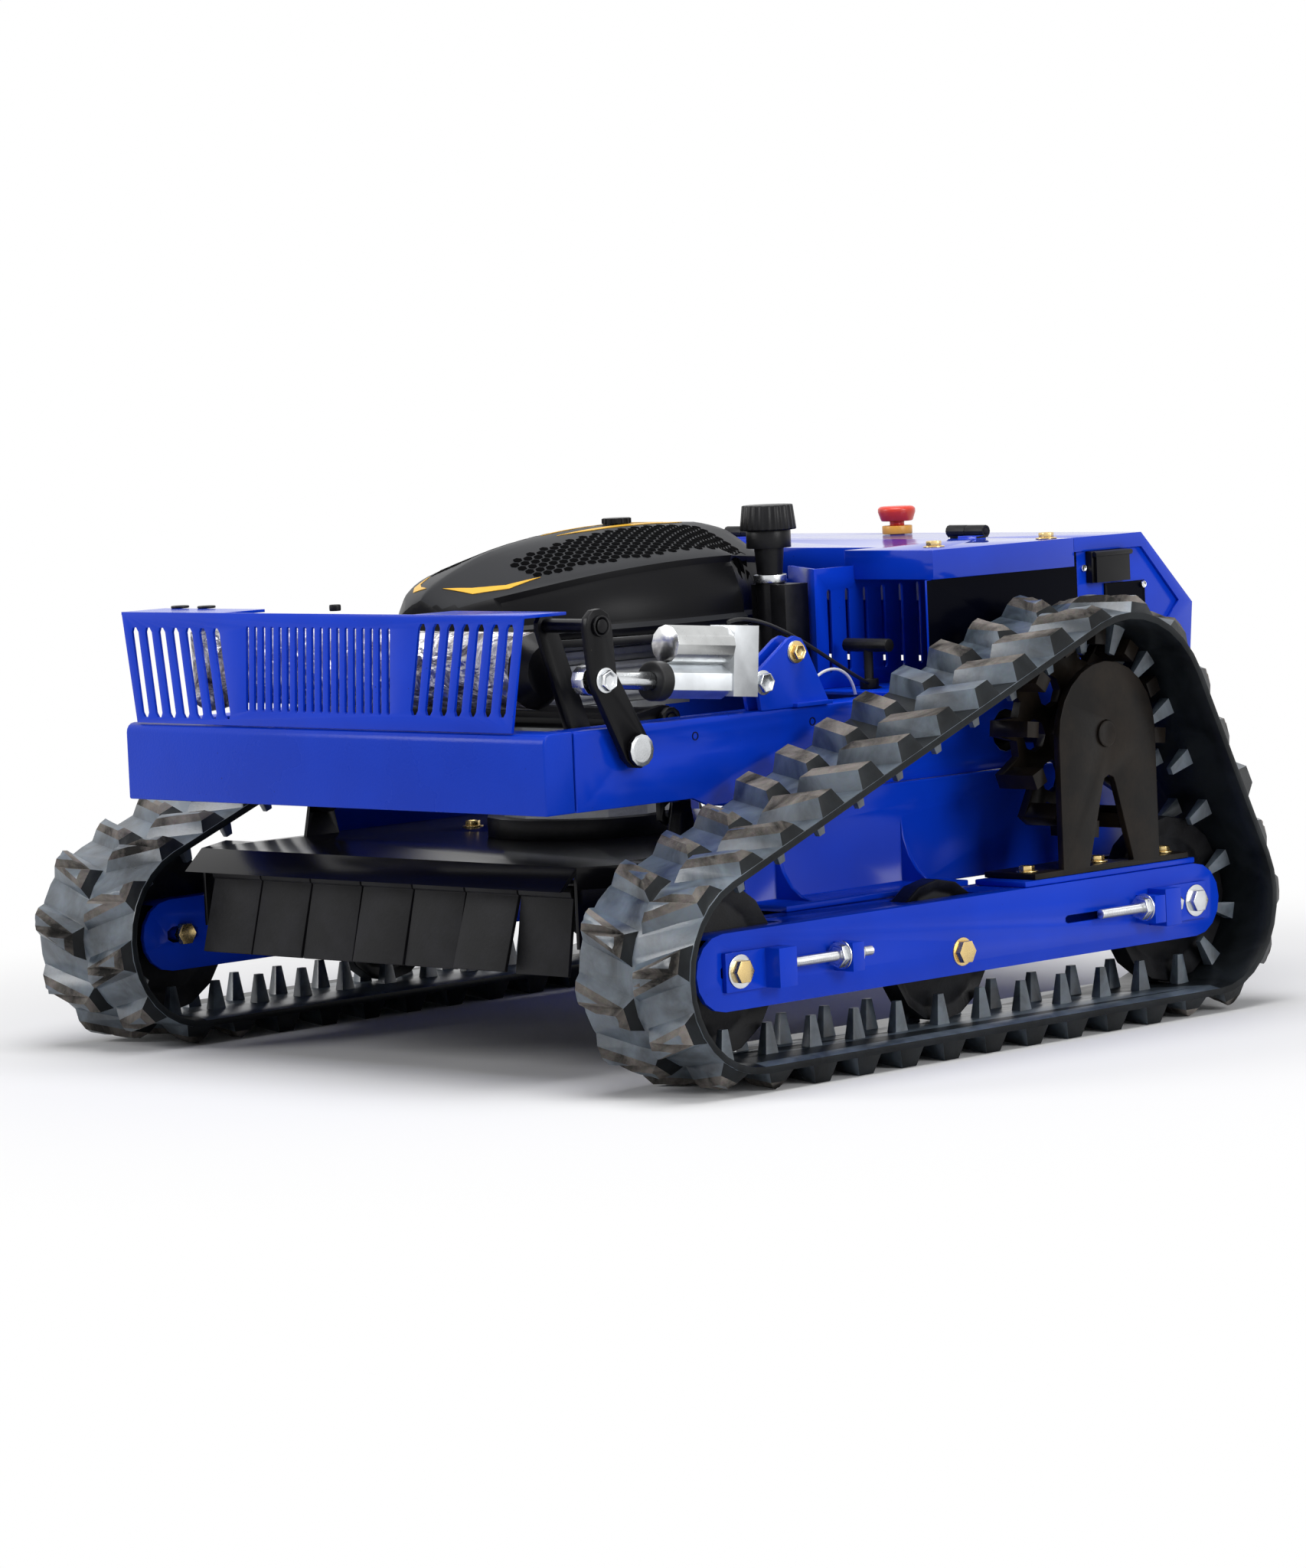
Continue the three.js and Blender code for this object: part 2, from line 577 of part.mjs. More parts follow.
// Saddle plate on the beam and the arch that carries the outer end of the sprocket shaft
const beamTop = beam.z + beam.endRadius;
const saddleLow = beamTop + gap;
const archLow = saddleLow + saddle.plate + gap;
const wheelRoom = box(
  [belt.centreX - beam.slotHalf, belt.centreX + beam.slotHalf],
  [beam.forkRearY, rearWheel.y + rearWheel.beltRadius],
  [beam.z, sprocket.z],
);
const saddleBar = box(
  [beam.x0 + saddle.inner, beam.x1 - saddle.outer],
  [saddle.y0, saddle.y1],
  [saddleLow, saddleLow + saddle.plate],
);
placePair("saddle_plate", saddleBar.subtract(wheelRoom), "blue");

function makeArch() {
  const { y, z, radius, outerX, base, mouthHalf, mouthTop, mouthTopHalf, bossRadius, boss } = arch;
  const steps = 12;
  const crown = Array.from({ length: steps + 1 }, (_, i) => {
    const a = (Math.PI * i) / steps;
    return [y + radius * Math.cos(a), z + radius * Math.sin(a)];
  });
  const foot = archLow + base;
  const mouthCrown = [0, 45, 90, 135, 180].map((degrees) => {
    const a = THREE.MathUtils.degToRad(degrees);
    return [y + mouthTopHalf * Math.cos(a), mouthTop - mouthTopHalf + mouthTopHalf * Math.sin(a)];
  });
  const outline = [
    ...crown, [y - radius, archLow], [y - mouthHalf, archLow], ...mouthCrown.reverse(),
    [y + mouthHalf, archLow], [y + radius, archLow],
  ];
  const plate = prism("x", outline, archInnerX, outerX);
  const floor = box([arch.baseInner, outerX], [arch.baseY0, arch.baseY1], [archLow, foot]);
  const collar = rod("x", sprocket.y, sprocket.z, bossRadius, archInnerX - boss, outerX);
  const shaftRoom = boreRadius(motor.shaftRadius, 12);
  const bore = rod("x", sprocket.y, sprocket.z, shaftRoom, archInnerX - overrun, outerX + overrun);
  return cut(join([plate, floor, collar]), [bore, wheelRoom]);
}

placePair("arch_support", makeArch(), "black");

// Drive gearmotor: flange against the rail's inner face
function makeMotor() {
  const { radius, length, flangeRadius, flange } = motor;
  const faceX = rail.outerX - sheet - gap;
  const flangePlate = rod("x", sprocket.y, sprocket.z, flangeRadius, faceX - flange, faceX);
  const can = rod("x", sprocket.y, sprocket.z, radius, faceX - length, faceX, 20);
  const boreFrom = rail.outerX - length / 2 - gap;
  const bore = rod("x", sprocket.y, sprocket.z, boreRadius(motor.shaftRadius, 12), boreFrom, faceX + overrun);
  return join([flangePlate, can]).subtract(bore);
}

placePair("gearmotor", makeMotor(), "steel");

// Side rail: channel open to the inside, with its outer skin shaped at the front and rear
function makeRail() {
  const { outerX, top, bottom, flange, frontY, rearY, dip, dipY, dipStartY } = rail;
  const outline = [
    [frontY, bottom], [dipStartY, bottom], [dipY, bottom - dip], [sidePlate.rearY, bottom - dip],
    [sidePlate.rearY + sidePlate.flange, bottom], [rearY, bottom], [rearY, top], [frontY, top],
  ];
  const skin = prism("x", outline, outerX - sheet, outerX);
  const flangeX = [outerX - flange, outerX];
  const upper = box(flangeX, [frontY, rearY], [top - sheet, top]);
  const lower = box(flangeX, [frontY, rearY], [bottom, bottom + sheet]);
  const shaftHole = rod("x", sprocket.y, sprocket.z, motor.shaftHole, outerX - overrun, outerX + overrun);
  const pivotRadius = boreRadius(lift.shaftRadius, 12);
  const pivotHole = rod("x", lift.y, lift.z, pivotRadius, outerX - overrun, outerX + overrun);
  const motorHalf = motor.flangeRadius + motor.room;
  const motorRoom = box([outerX - flange - overrun, outerX - sheet],
    [sprocket.y - motorHalf, sprocket.y + motorHalf], [bottom - dip, bottom + sheet + overrun]);
  return cut(join([skin, upper, lower]), [shaftHole, pivotHole, motorRoom]);
}

placePair("side_rail", makeRail(), "blue");

// Chassis side plate under the rail with its foot on the beam and two curved gussets
function makeSidePlate() {
  const { thickness, frontY, rearY, footEndY, footReach, flange } = sidePlate;
  const inX = rail.outerX + gap;
  const outX = inX + thickness;
  const top = rail.bottom - rail.dip - gap;
  const foot = beamTop + gap;
  const section = [
    [inX - flange, top], [outX, top], [outX, foot + thickness], [outX + footReach, foot + thickness],
    [outX + footReach, foot], [inX, foot], [inX, top - sheet], [inX - flange, top - sheet],
  ];
  const plate = prism("y", section, frontY + overrun, footEndY);
  const behind = [
    [inX - flange, top], [outX, top], [outX, foot], [inX, foot], [inX, top - sheet], [inX - flange, top - sheet],
  ];
  const rear = prism("y", behind, footEndY, rearY);
  const steps = 5;
  const gussets = gusset.ys.map((y) => {
    const curve = Array.from({ length: steps + 1 }, (_, i) => {
      const a = (Math.PI / 2) * (i / steps);
      return [
        outX + gusset.reach * (1 - Math.sin(a)),
        foot + thickness + gusset.height * (1 - Math.cos(a)),
      ];
    });
    return prism("y", [[outX, foot + thickness], ...curve], y - gusset.thickness / 2, y + gusset.thickness / 2);
  });
  return join([plate, rear, ...gussets]);
}

placePair("side_plate", makeSidePlate(), "blue");

// Bumper: folded channel with a rounded top fold and closed ends
function makeBumper() {
  const { frontY, top, bottom, depth, bend } = bumper;
  const back = frontY + depth;
  const arc = (radius) => [90, 112.5, 135, 157.5, 180].map((degrees) => {
    const a = THREE.MathUtils.degToRad(degrees);
    return [frontY + bend + radius * Math.cos(a), top - bend + radius * Math.sin(a)];
  });
  const section = [
    [back, top], ...arc(bend), [frontY, bottom], [back, bottom], [back, bottom + sheet],
    [frontY + sheet, bottom + sheet], ...arc(bend - sheet).reverse(), [back, top - sheet],
  ];
  const shell = prism("x", section, -rail.outerX, rail.outerX);
  const cap = [[back, top], ...arc(bend), [frontY, bottom], [back, bottom]];
  const ends = [-rail.outerX, rail.outerX - sheet].map((x) => prism("x", cap, x, x + sheet));
  return join([shell, ...ends]);
}

place("front_bumper", makeBumper(), "blue");

// Guard: slotted sheet on the bumper, with top flanges on its two side panels
function makeGuard() {
  const { y, thickness, top, bottom, topLeft, topRight, bottomLeft, bottomRight, flange } = guard;
  const { bendLeft, bendRight } = guard;
  const holes = [leftSlots, midSlots, rightSlots].flatMap((row) => {
    const { first, pitch, count, width, low, high, slope } = row;
    const middle = (low + high) / 2;
    return Array.from({ length: count }, (_, i) => (
      slot(first + pitch * i, middle, high - low, width, true).map(([x, z]) => [x + slope * (z - middle), z])
    ));
  });
  const outline = [[topLeft, top], [bottomLeft, bottom], [bottomRight, bottom], [topRight, top]];
  const slots = holes.map((hole) => prism("y", hole, y - overrun, y + thickness + overrun));
  const face = cut(prism("y", outline, y, y + thickness), slots);
  const flanges = [[topLeft, bendLeft], [bendRight, topRight]].map((xs) => (
    box(xs, [y, y + flange], [top - thickness, top])
  ));
  return join([face, ...flanges]);
}

place("front_guard", makeGuard(), "blue");

// Cross tube and tray between the rails, carrying the rear box
const trayLow = rail.top + gap;
const trayTop = trayLow + sheet;
const trayHalf = rail.outerX - rearBox.skin - gap;

function makeTray() {
  const { y, size, wall, low } = crossTube;
  const reach = rail.outerX - rail.flange - gap;
  const outer = box([-reach, reach], [y - size / 2, y + size / 2], [low, trayLow + sheet / 2]);
  const inner = box([-reach - overrun, reach + overrun], [y - size / 2 + wall, y + size / 2 - wall],
    [low + wall, trayLow]);
  const floor = prism("z", [
    [-trayHalf, tray.frontY], [tray.wingX, tray.frontY], [tray.wingX, tray.wingY], [trayHalf, tray.wingY],
    [trayHalf, tray.rearY], [-trayHalf, tray.rearY],
  ], trayLow, trayTop);
  return outer.subtract(inner).add(floor);
}

place("rear_tray", makeTray(), "blue");

// Rear box: side panels, lid, rear cover
function makeSidePanel(lidFrontY) {
  const { skin, frontY, seamY, top, slopeY, slopeZ, foldY, tailZ, tailY, lidTop, lip } = rearBox;
  const low = rail.top + gap;
  const inset = skin + gap;
  const notchY = lidFrontY + inset;
  const notchZ = lidTop - lip - gap;
  const outline = [
    [frontY, low], [tailY, low], [tailY, tailZ], [slopeY - 3 * inset, slopeZ], [foldY, top - inset],
    [seamY, top - inset], [notchY, top - inset], [notchY, notchZ], [frontY, notchZ],
  ];
  return prism("x", outline, rail.outerX - skin, rail.outerX);
}

place("box_side_left", makeSidePanel(rearBox.wingY), "blue");
place("box_side_right", mirrored(makeSidePanel(rearBox.mainY)), "blue");

const lidInner = rail.outerX + gap;
const lidOuter = lidInner + rearBox.skin;
const lidLow = rearBox.lidTop - rearBox.skin;
const hingeAxisZ = rearBox.lidTop + hinge.rise;

function makeLid() {
  const { wingX, wingY, mainY, lidTop, lip, skin, seamY } = rearBox;
  const rearEdge = seamY - gap;
  const outline = (edge, rear) => [
    [-lidOuter + edge, mainY + edge], [wingX + edge, mainY + edge], [wingX + edge, wingY + edge],
    [lidOuter - edge, wingY + edge], [lidOuter - edge, rear], [-lidOuter + edge, rear],
  ];
  const shell = prism("z", outline(0, rearEdge), lidTop - lip, lidTop);
  const hollow = prism("z", outline(skin, rearEdge + overrun), lidTop - lip - overrun, lidLow);
  const leaves = hinge.xs.map((x) => makeKnuckle(x, -1));
  return join([shell.subtract(hollow), ...leaves]);
}

// A weld-on barrel: the open half carries the bore, the other half the pin
function makeKnuckle(x, side) {
  const { radius, pin, length, leaf } = hinge;
  const half = length / 2;
  const { seamY, lidTop, skin } = rearBox;
  const from = side < 0 ? x : x - half;
  const to = side < 0 ? x + half : x - gap;
  const barrel = rod("x", seamY, hingeAxisZ, radius, from, to, 12);
  const low = lidTop - skin / 2;
  const ys = side < 0 ? [seamY - leaf, seamY - gap] : [seamY + gap, seamY + leaf];
  const weld = box([from, to], [seamY - radius / 2, seamY + radius / 2], [low, hingeAxisZ]);
  const plate = box([from, to], ys, [low, lidTop + skin]);
  const trim = side < 0 ? [seamY - gap, seamY + overrun] : [seamY - overrun, seamY + gap];
  const keep = box([x - length, x + length], trim, [low - overrun, lidTop + hinge.rise - radius]);
  const body = join([barrel, weld, plate]).subtract(keep);
  if (side < 0) {
    const bore = rod("x", seamY, hingeAxisZ, boreRadius(pin, 12), from - overrun, to + overrun, 12);
    return body.subtract(bore);
  }
  return body.add(rod("x", seamY, hingeAxisZ, pin, x - half / 2, x + half, 12));
}

place("box_lid", makeLid(), "blue");

function makeRearCover() {
  const { lidTop, skin, seamY, slopeY, slopeZ, foldY, tailZ, tailY, lip } = rearBox;
  const inner = skin + gap;
  const outside = [[seamY, lidTop], [foldY, lidTop], [slopeY, slopeZ], [tailY + inner, tailZ]];
  const inside = [
    [tailY + gap, tailZ], [slopeY - 2 * inner, slopeZ], [foldY - gap, lidTop - skin], [seamY, lidTop - skin],
  ];
  const shell = prism("x", [...outside, ...inside], -lidOuter, lidOuter);
  const drop = lip / 2;
  const flangeLow = [
    [tailY - drop, tailZ], [slopeY - drop - 2 * inner, slopeZ + inner], [foldY - gap, lidTop - drop],
    [seamY, lidTop - drop],
  ];
  const flanges = [-lidOuter, lidInner].map((x) => prism("x", [...outside, ...flangeLow], x, x + rearBox.skin));
  const leaves = hinge.xs.map((x) => makeKnuckle(x, 1));
  const stemRoom = boreRadius(estop.stemRadius, 12);
  const stemHole = rod("z", estop.x, estop.y, stemRoom, lidTop - overrun, lidTop + overrun);
  return join([shell, ...flanges, ...leaves]).subtract(stemHole);
}

place("rear_cover", makeRearCover(), "blue");

// Vent guard: slotted plate along the box opening with an angled front part
function makeVent() {
  const { x, y0, y1, low, top, turnX, turnY, slotPitch, slotWidth, slots, slotLow, slotHigh, slotEdge } = vent;
  const t = vent.sheet;
  const path = [[x, y1], [x, y0], [turnX, turnY], [turnX + t, turnY + t], [x - t, y0 + 2 * t], [x - t, y1]];
  const wall = prism("z", path, low, top);
  const underLid = box([turnX, x + overrun], [rearBox.wingY - gap, y1 + overrun],
    [rearBox.lidTop - rearBox.lip - gap, top + overrun]);
  const holes = [underLid];
  for (let i = 0; i < slots; i += 1) {
    const centre = y0 + slotEdge + slotPitch * i;
    const outline = slot(centre, (slotLow + slotHigh) / 2, slotHigh - slotLow, slotWidth, true);
    holes.push(prism("x", outline, x - 2 * t, x + overrun));
  }
  return cut(wall, holes);
}

place("vent_guard", makeVent(), "blue");
place("battery_case", box([battery.x0, battery.x1], [battery.y0, battery.y1],
  [trayTop + gap, trayTop + gap + battery.height]), "darkCase");

// Emergency stop: collar fixed on the rear cover, mushroom head that is pressed down
const collarLow = rearBox.lidTop + gap;
const collarTop = collarLow + estop.collar;
const headLow = collarTop + estop.lift / 2;
const stemBore = boreRadius(estop.stemRadius, 20);
place("stop_collar", turned("z", estop.x, estop.y, [
  [stemBore, collarLow], [estop.collarRadius, collarLow], [estop.collarRadius, collarTop],
  [stemBore, collarTop], [stemBore, collarLow],
], 20), "yellow");
place("stop_head", turned("z", estop.x, estop.y, [
  [0, collarLow - estop.stemDepth], [estop.stemRadius, collarLow - estop.stemDepth],
  [estop.stemRadius, headLow],
  [estop.headRadius * estop.footShare, headLow], [estop.headRadius, headLow + estop.head * estop.rimLowShare],
  [estop.headRadius, headLow + estop.head * estop.rimHighShare],
  [estop.headRadius * estop.crownShare, headLow + estop.head],
  [0, headLow + estop.head],
], 20), "red");

// Charge socket with its flip cap on the box side
const socketX = rail.outerX + gap;
const socketY = (socket.y0 + socket.y1) / 2;
const socketZ = (socket.z0 + socket.z1) / 2;
const socketFace = socketX + socket.depth;
place("charge_socket", box([socketX, socketFace], [socket.y0, socket.y1], [socket.z0, socket.z1]).subtract(
  rod("x", socketY, socketZ, socket.wellRadius, socketFace - socket.well, socketFace + overrun),
), "darkCase");
const capPinX = socketFace + gap + socket.capPin;
place("socket_cap", join([
  box([socketFace + gap, socketFace + gap + socket.cap], [socket.y0 + socket.capPin, socket.y1 - socket.capPin],
    [socket.z0 + gap, socket.z1 - socket.capPin]),
  rod("y", capPinX, socket.z1 - socket.capPin, socket.capPin, socket.y0 + gap, socket.y1 - gap, 8),
]), "darkCase");

// Lift frame: pivots in both rails, lever plate and arms, cross tube between the arm ends
function makeLiftFrame() {
  const { y, z, shaftRadius, arm, armEndY, armEndZ, tubeRadius, topY, topZ, head, headRadius } = lift;
  const { plateHalf, topShare } = lift;
  const armOuter = armX + arm;
  const armPlate = prism("x", strap(y, z, plateHalf, armEndY, armEndZ, plateHalf), armX, armOuter);
  const upright = prism("x", strap(y, z, plateHalf, topY, topZ, plateHalf * topShare), armX, armOuter);
  const rightPlate = prism("x", strap(y, z, plateHalf, armEndY, armEndZ, plateHalf), -armOuter, -armX);
  const leftShaft = rod("x", y, z, shaftRadius, armX, leverX + lever.plate + gap);
  const leftHead = rod("x", y, z, headRadius, leverX + lever.plate + gap, leverX + lever.plate + gap + head);
  const rightShaft = rod("x", y, z, shaftRadius, -rail.outerX - gap, -armX);
  const rightHead = rod("x", y, z, headRadius, -rail.outerX - gap - head, -rail.outerX - gap);
  const pinReach = linkX + link.plate + gap;
  const tube = rod("x", armEndY, armEndZ, tubeRadius, -armX, armX);
  const pins = rod("x", armEndY, armEndZ, link.half / 2, -pinReach, pinReach, 12);
  return join([armPlate, upright, rightPlate, leftShaft, leftHead, rightShaft, rightHead, tube, pins]);
}

place("lift_frame", makeLiftFrame(), "black");

// Lift lever: waisted plate outside the rail, with the actuator pin and the top spacer
function makeLever() {
  const { plate, half, waistShare, topShare, pinRadius, pinInnerX } = lever;
  const x = leverX;
  const low = strap(lift.y, lift.z, half, lift.headY, lift.headZ, half * waistShare);
  const high = strap(lift.headY, lift.headZ, half * waistShare, lift.topY, lift.topZ, half * topShare);
  const bar = join([prism("x", low, x, x + plate), prism("x", high, x, x + plate)]);
  const bore = rod("x", lift.y, lift.z, boreRadius(lift.shaftRadius, 12), x - overrun, x + overrun);
  const pin = rod("x", lift.headY, lift.headZ, pinRadius, pinInnerX, x + plate + pinRadius, 12);
  const spacerInX = armX + lift.arm + gap;
  const spacer = rod("x", lift.topY, lift.topZ, lift.stubRadius, spacerInX, x + plate + pinRadius);
  return join([bar.subtract(bore), pin, spacer]);
}

place("lift_lever", makeLever(), "black");

// Lift links: hang on the arm ends, with a slotted lower eye round the deck pin
function makeLink() {
  const { plate, half, lowZ, slotHalfY, slotHalfZ, headHalfY, headHalfZ, lowShare } = link;
  const x = linkX;
  const barOutline = strap(lift.armEndY, lift.armEndZ, half, lift.armEndY, lowZ, half * lowShare);
  const bar = prism("x", barOutline, x, x + plate);
  const slotZ = lowZ + slotHalfZ - lever.pinRadius - gap;
  const eye = prism("x", slot(lift.armEndY, slotZ, 2 * headHalfY, 2 * headHalfZ), x, x + plate);
  const topHole = rod("x", lift.armEndY, lift.armEndZ, boreRadius(half / 2, 12), x - overrun, x + overrun, 12);
  const lowHole = prism("x", slot(lift.armEndY, slotZ, 2 * slotHalfY, 2 * slotHalfZ), x - overrun, x + overrun);
  return cut(join([bar, eye]), [topHole, lowHole]);
}

placePair("lift_link", makeLink(), "steel");

// Actuator, drawn level from its rear pin and then turned onto the line to the lever pin
const strokeY = lift.headY - actuator.y;
const strokeZ = lift.headZ - actuator.z;
const strokeLength = Math.hypot(strokeY, strokeZ);
const strokeTurn = Math.atan2(strokeZ, -strokeY);

function aimed(solid) {
  const geometry = toGeometry(solid);
  geometry.rotateX(-strokeTurn);
  geometry.translate(actuator.x, actuator.y, actuator.z);
  return toSolid(geometry);
}

function makeActuatorBody() {
  const a = actuator;
  const width = [-a.tubeHalf, a.tubeHalf];
  const housing = box(width, [-a.housingEnd, -a.housingStart], [a.housingLow, a.housingHigh]);
  const tube = prism("y", slot(0, 0, 2 * a.tubeHalf, 2 * a.tubeHalf - gap), -a.tubeEnd, -a.tubeStart);
  const can = rod("y", 0, a.motorRise, a.motorRadius, -a.motorEnd, -a.housingEnd);
  const clevisOutline = strap(0, 0, a.clevisRadius, -a.housingStart - gap, 0, a.clevisRadius);
  const clevis = prism("x", clevisOutline, -a.clevisHalf, a.clevisHalf);
  const pinHole = rod("x", 0, 0, boreRadius(a.pinRadius, 12), -overrun, overrun, 12);
  const bore = rod("y", 0, 0, boreRadius(a.rodRadius, 12), -a.tubeEnd - overrun, -a.boreStart);
  return aimed(cut(join([housing, tube, can, clevis]), [pinHole, bore]));
}

function makeActuatorRod() {
  const a = actuator;
  const eyeEdge = -strokeLength + a.eyeRadius * a.eyeShare;
  const shaft = rod("y", 0, 0, a.rodRadius, eyeEdge, -a.tubeEnd + a.rodInside);
  const eye = rod("x", -strokeLength, 0, a.eyeRadius, -a.eyeX, a.eyeX);
  const hole = rod("x", -strokeLength, 0, a.eyeHole, -overrun, overrun);
  return aimed(join([shaft, eye]).subtract(hole));
}

place("actuator_body", makeActuatorBody(), "silver");
place("actuator_rod", makeActuatorRod(), "silver");

function makeBracket() {
  const { y0, y1, cheek, cheekGap, footHalf, footY0, bossY, bossZ, bossRadius } = bracket;
  const { x, y, z, clevisHalf, pinRadius } = actuator;
  const footLow = rail.top + gap;
  const inner = clevisHalf + cheekGap;
  const bossArc = [20, 55, 90, 125].map((degrees) => {
    const a = THREE.MathUtils.degToRad(degrees);
    return [bossY + bossRadius * Math.cos(a), bossZ + bossRadius * Math.sin(a)];
  });
  const cheekOutline = [
    [y0, footLow], [y1, footLow], [y1, footLow + sheet], ...bossArc,
    [y - footHalf / 2, z + footHalf / 2], [y0 - footHalf / 4, z],
  ];
  const cheeks = [[x - inner - cheek, x - inner], [x + inner, x + inner + cheek]].map(([from, to]) => (
    prism("x", cheekOutline, from, to)
  ));
  const foot = box([x - footHalf, x + footHalf - gap], [footY0 + 2 * footHalf, y1], [footLow, footLow + sheet]);
  const pin = rod("x", y, z, pinRadius, x - inner - cheek, x + inner + cheek, 12);
  const room = box([x - actuator.tubeHalf - gap, x + actuator.tubeHalf + gap],
    [y0 - overrun, y - actuator.housingStart / 2 - cheek], [footLow + sheet, bossZ + overrun]);
  return join([...cheeks, foot]).subtract(room).add(pin);
}

place("actuator_bracket", makeBracket(), "blue");

// Deck: top plate with front wings, hem, skirts, flap rod and the posts for the lift links
function makeDeck() {
  const { top, frontY, rearY, plate, hemLow, hemReach, skirtLow, wingReach, wingBackY, rodRadius } = deck;
  const halfX = deckHalf;
  const wingX = halfX + wingReach;
  const outline = [
    [-halfX, frontY], [halfX, frontY], [wingX, wingBackY], [halfX, wingBackY], [halfX, rearY], [-halfX, rearY],
    [-halfX, wingBackY], [-wingX, wingBackY],
  ];
  const roof = prism("z", outline, top - plate, top);
  const hem = prism("x", [
    [frontY + plate, top], [frontY, top], [frontY - hemReach, hemLow], [frontY - hemReach + plate, hemLow],
    [frontY + plate, top - plate],
  ], -halfX, halfX);
  const wingHem = [-1, 1].map((side) => prism("z", [
    [side * (halfX - plate), frontY], [side * halfX, frontY], [side * wingX, wingBackY],
    [side * (wingX - plate), wingBackY], [side * (halfX - plate), frontY + plate],
  ], hemLow, top));
  const skirts = [-halfX, halfX - plate].map((x) => box([x, x + plate], [frontY, rearY], [skirtLow, top]));
  const rear = box([-halfX, halfX], [rearY - plate, rearY], [skirtLow, top]);
  const flapRod = rod("x", deck.rodY, deck.rodZ, rodRadius, -halfX, halfX, 12);
  const spindleHole = rod("z", 0, blade.y, blade.boss, top - overrun, top + overrun);
  const postX = linkX + link.plate + 2 * plate;
  const posts = [-1, 1].map((side) => {
    const xs = [side * postX, side * (postX - plate)].sort((a, b) => a - b);
    const post = prism("x", [
      [lift.armEndY - 2 * deck.postY, top - plate], [lift.armEndY + 2 * deck.postY, top - plate],
      [lift.armEndY + deck.postY, link.lowZ + deck.postY], [lift.armEndY - deck.postY, link.lowZ + deck.postY],
    ], xs[0], xs[1]);
    const pinXs = [side * postX, side * (linkX - gap)].sort((a, b) => a - b);
    return post.add(rod("x", lift.armEndY, link.lowZ, lever.pinRadius, pinXs[0], pinXs[1], 12));
  });
  return join([roof, hem, ...wingHem, ...skirts, rear, flapRod, ...posts]).subtract(spindleHole);
}

place("mower_deck", makeDeck(), "black");

// Rubber flaps, each hung by its eye on the flap rod and leaning forward by its own angle
const flapCount = flap.leanDegrees.length;
const flapPitch = (2 * (deckHalf - flap.endRoom)) / flapCount;
const flapHalf = (flapPitch - flap.between) / 2;

flap.leanDegrees.forEach((lean, i) => {
  const centre = (i - (flapCount - 1) / 2) * flapPitch;
  const xs = [centre - flapHalf, centre + flapHalf];
  const eye = rod("x", 0, 0, flap.eyeRadius, xs[0], xs[1], 8);
  const sheetPiece = box(xs, [-flap.thickness / 2, flap.thickness / 2], [-flap.length, 0]);
  const hole = rod("x", 0, 0, boreRadius(deck.rodRadius, 8), xs[0] - overrun, xs[1] + overrun, 8);
  const geometry = toGeometry(join([eye, sheetPiece]).subtract(hole));
  geometry.rotateX(-THREE.MathUtils.degToRad(lean));
  geometry.translate(0, deck.rodY, deck.rodZ);
  place(`rubber_flap_${i + 1}`, toSolid(geometry), "rubber");
});

// Blade with its spindle, boss and tapered cutting ends
function makeBlade() {
  const { y, radius, halfWidth, low, thickness, spindle, boss, bossHeight, spindleTop, tipTaper } = blade;
  const bar = prism("z", [
    [-radius, y - halfWidth + tipTaper], [-radius / 2, y - halfWidth], [radius, y - halfWidth],
    [radius, y + halfWidth - tipTaper], [radius / 2, y + halfWidth], [-radius, y + halfWidth],
  ], low, low + thickness);
  const hub = turned("z", 0, y, [
    [0, low - bossHeight / 2], [boss / 2, low - bossHeight / 2], [boss - gap, low],
    [boss - gap, low + bossHeight], [spindle, low + bossHeight], [spindle, spindleTop], [0, spindleTop],
  ], 16);
  return bar.add(hub);
}

place("cutting_blade", makeBlade(), "steel");

// Engine block: base, crankcase, finned cylinder, the plate under the cowl and the tank on its arm
function makeEngine() {
  const e = engine;
  const low = deck.top + gap;
  const base = prism("z", ring(0, e.y, e.baseHalf, 16, Math.PI / 16), low, low + e.base);
  const crankcase = rod("z", 0, e.y, e.caseRadius, low + e.base, e.caseTop);
  const core = box([-e.finHalfX + e.coreInset, e.finHalfX - e.coreInset],
    [e.finFrontY + e.coreInset, e.finBackY - e.coreInset], [e.caseTop, e.top]);
  const fins = Array.from({ length: e.fins }, (_, i) => {
    const z = e.caseTop + e.finPitch * i;
    return box([-e.finHalfX, e.finHalfX], [e.finFrontY, e.finBackY], [z, z + e.finThickness]);
  });
  const edge = cowlStations.map(({ foot, y }) => [foot, y]);
  const plate = prism("z", [...edge, ...edge.map(([x, y]) => [-x, y]).reverse()], e.top, e.top + e.plate);
  const armHigh = [fuel.armLow, fuel.armHigh];
  const arm = box([0, fuel.tankX0 + fuel.ridge], [fuel.tankY0, fuel.tankY1], armHigh);
  const armRoot = box([0, e.finHalfX], [e.finBackY - e.coreInset * 2, fuel.tankY1], armHigh);
  const bore = rod("z", 0, e.y, boreRadius(blade.spindle, 12), low - overrun, blade.spindleTop + gap);
  return join([base, crankcase, core, ...fins, plate, arm, armRoot]).subtract(bore).add(makeTank());
}

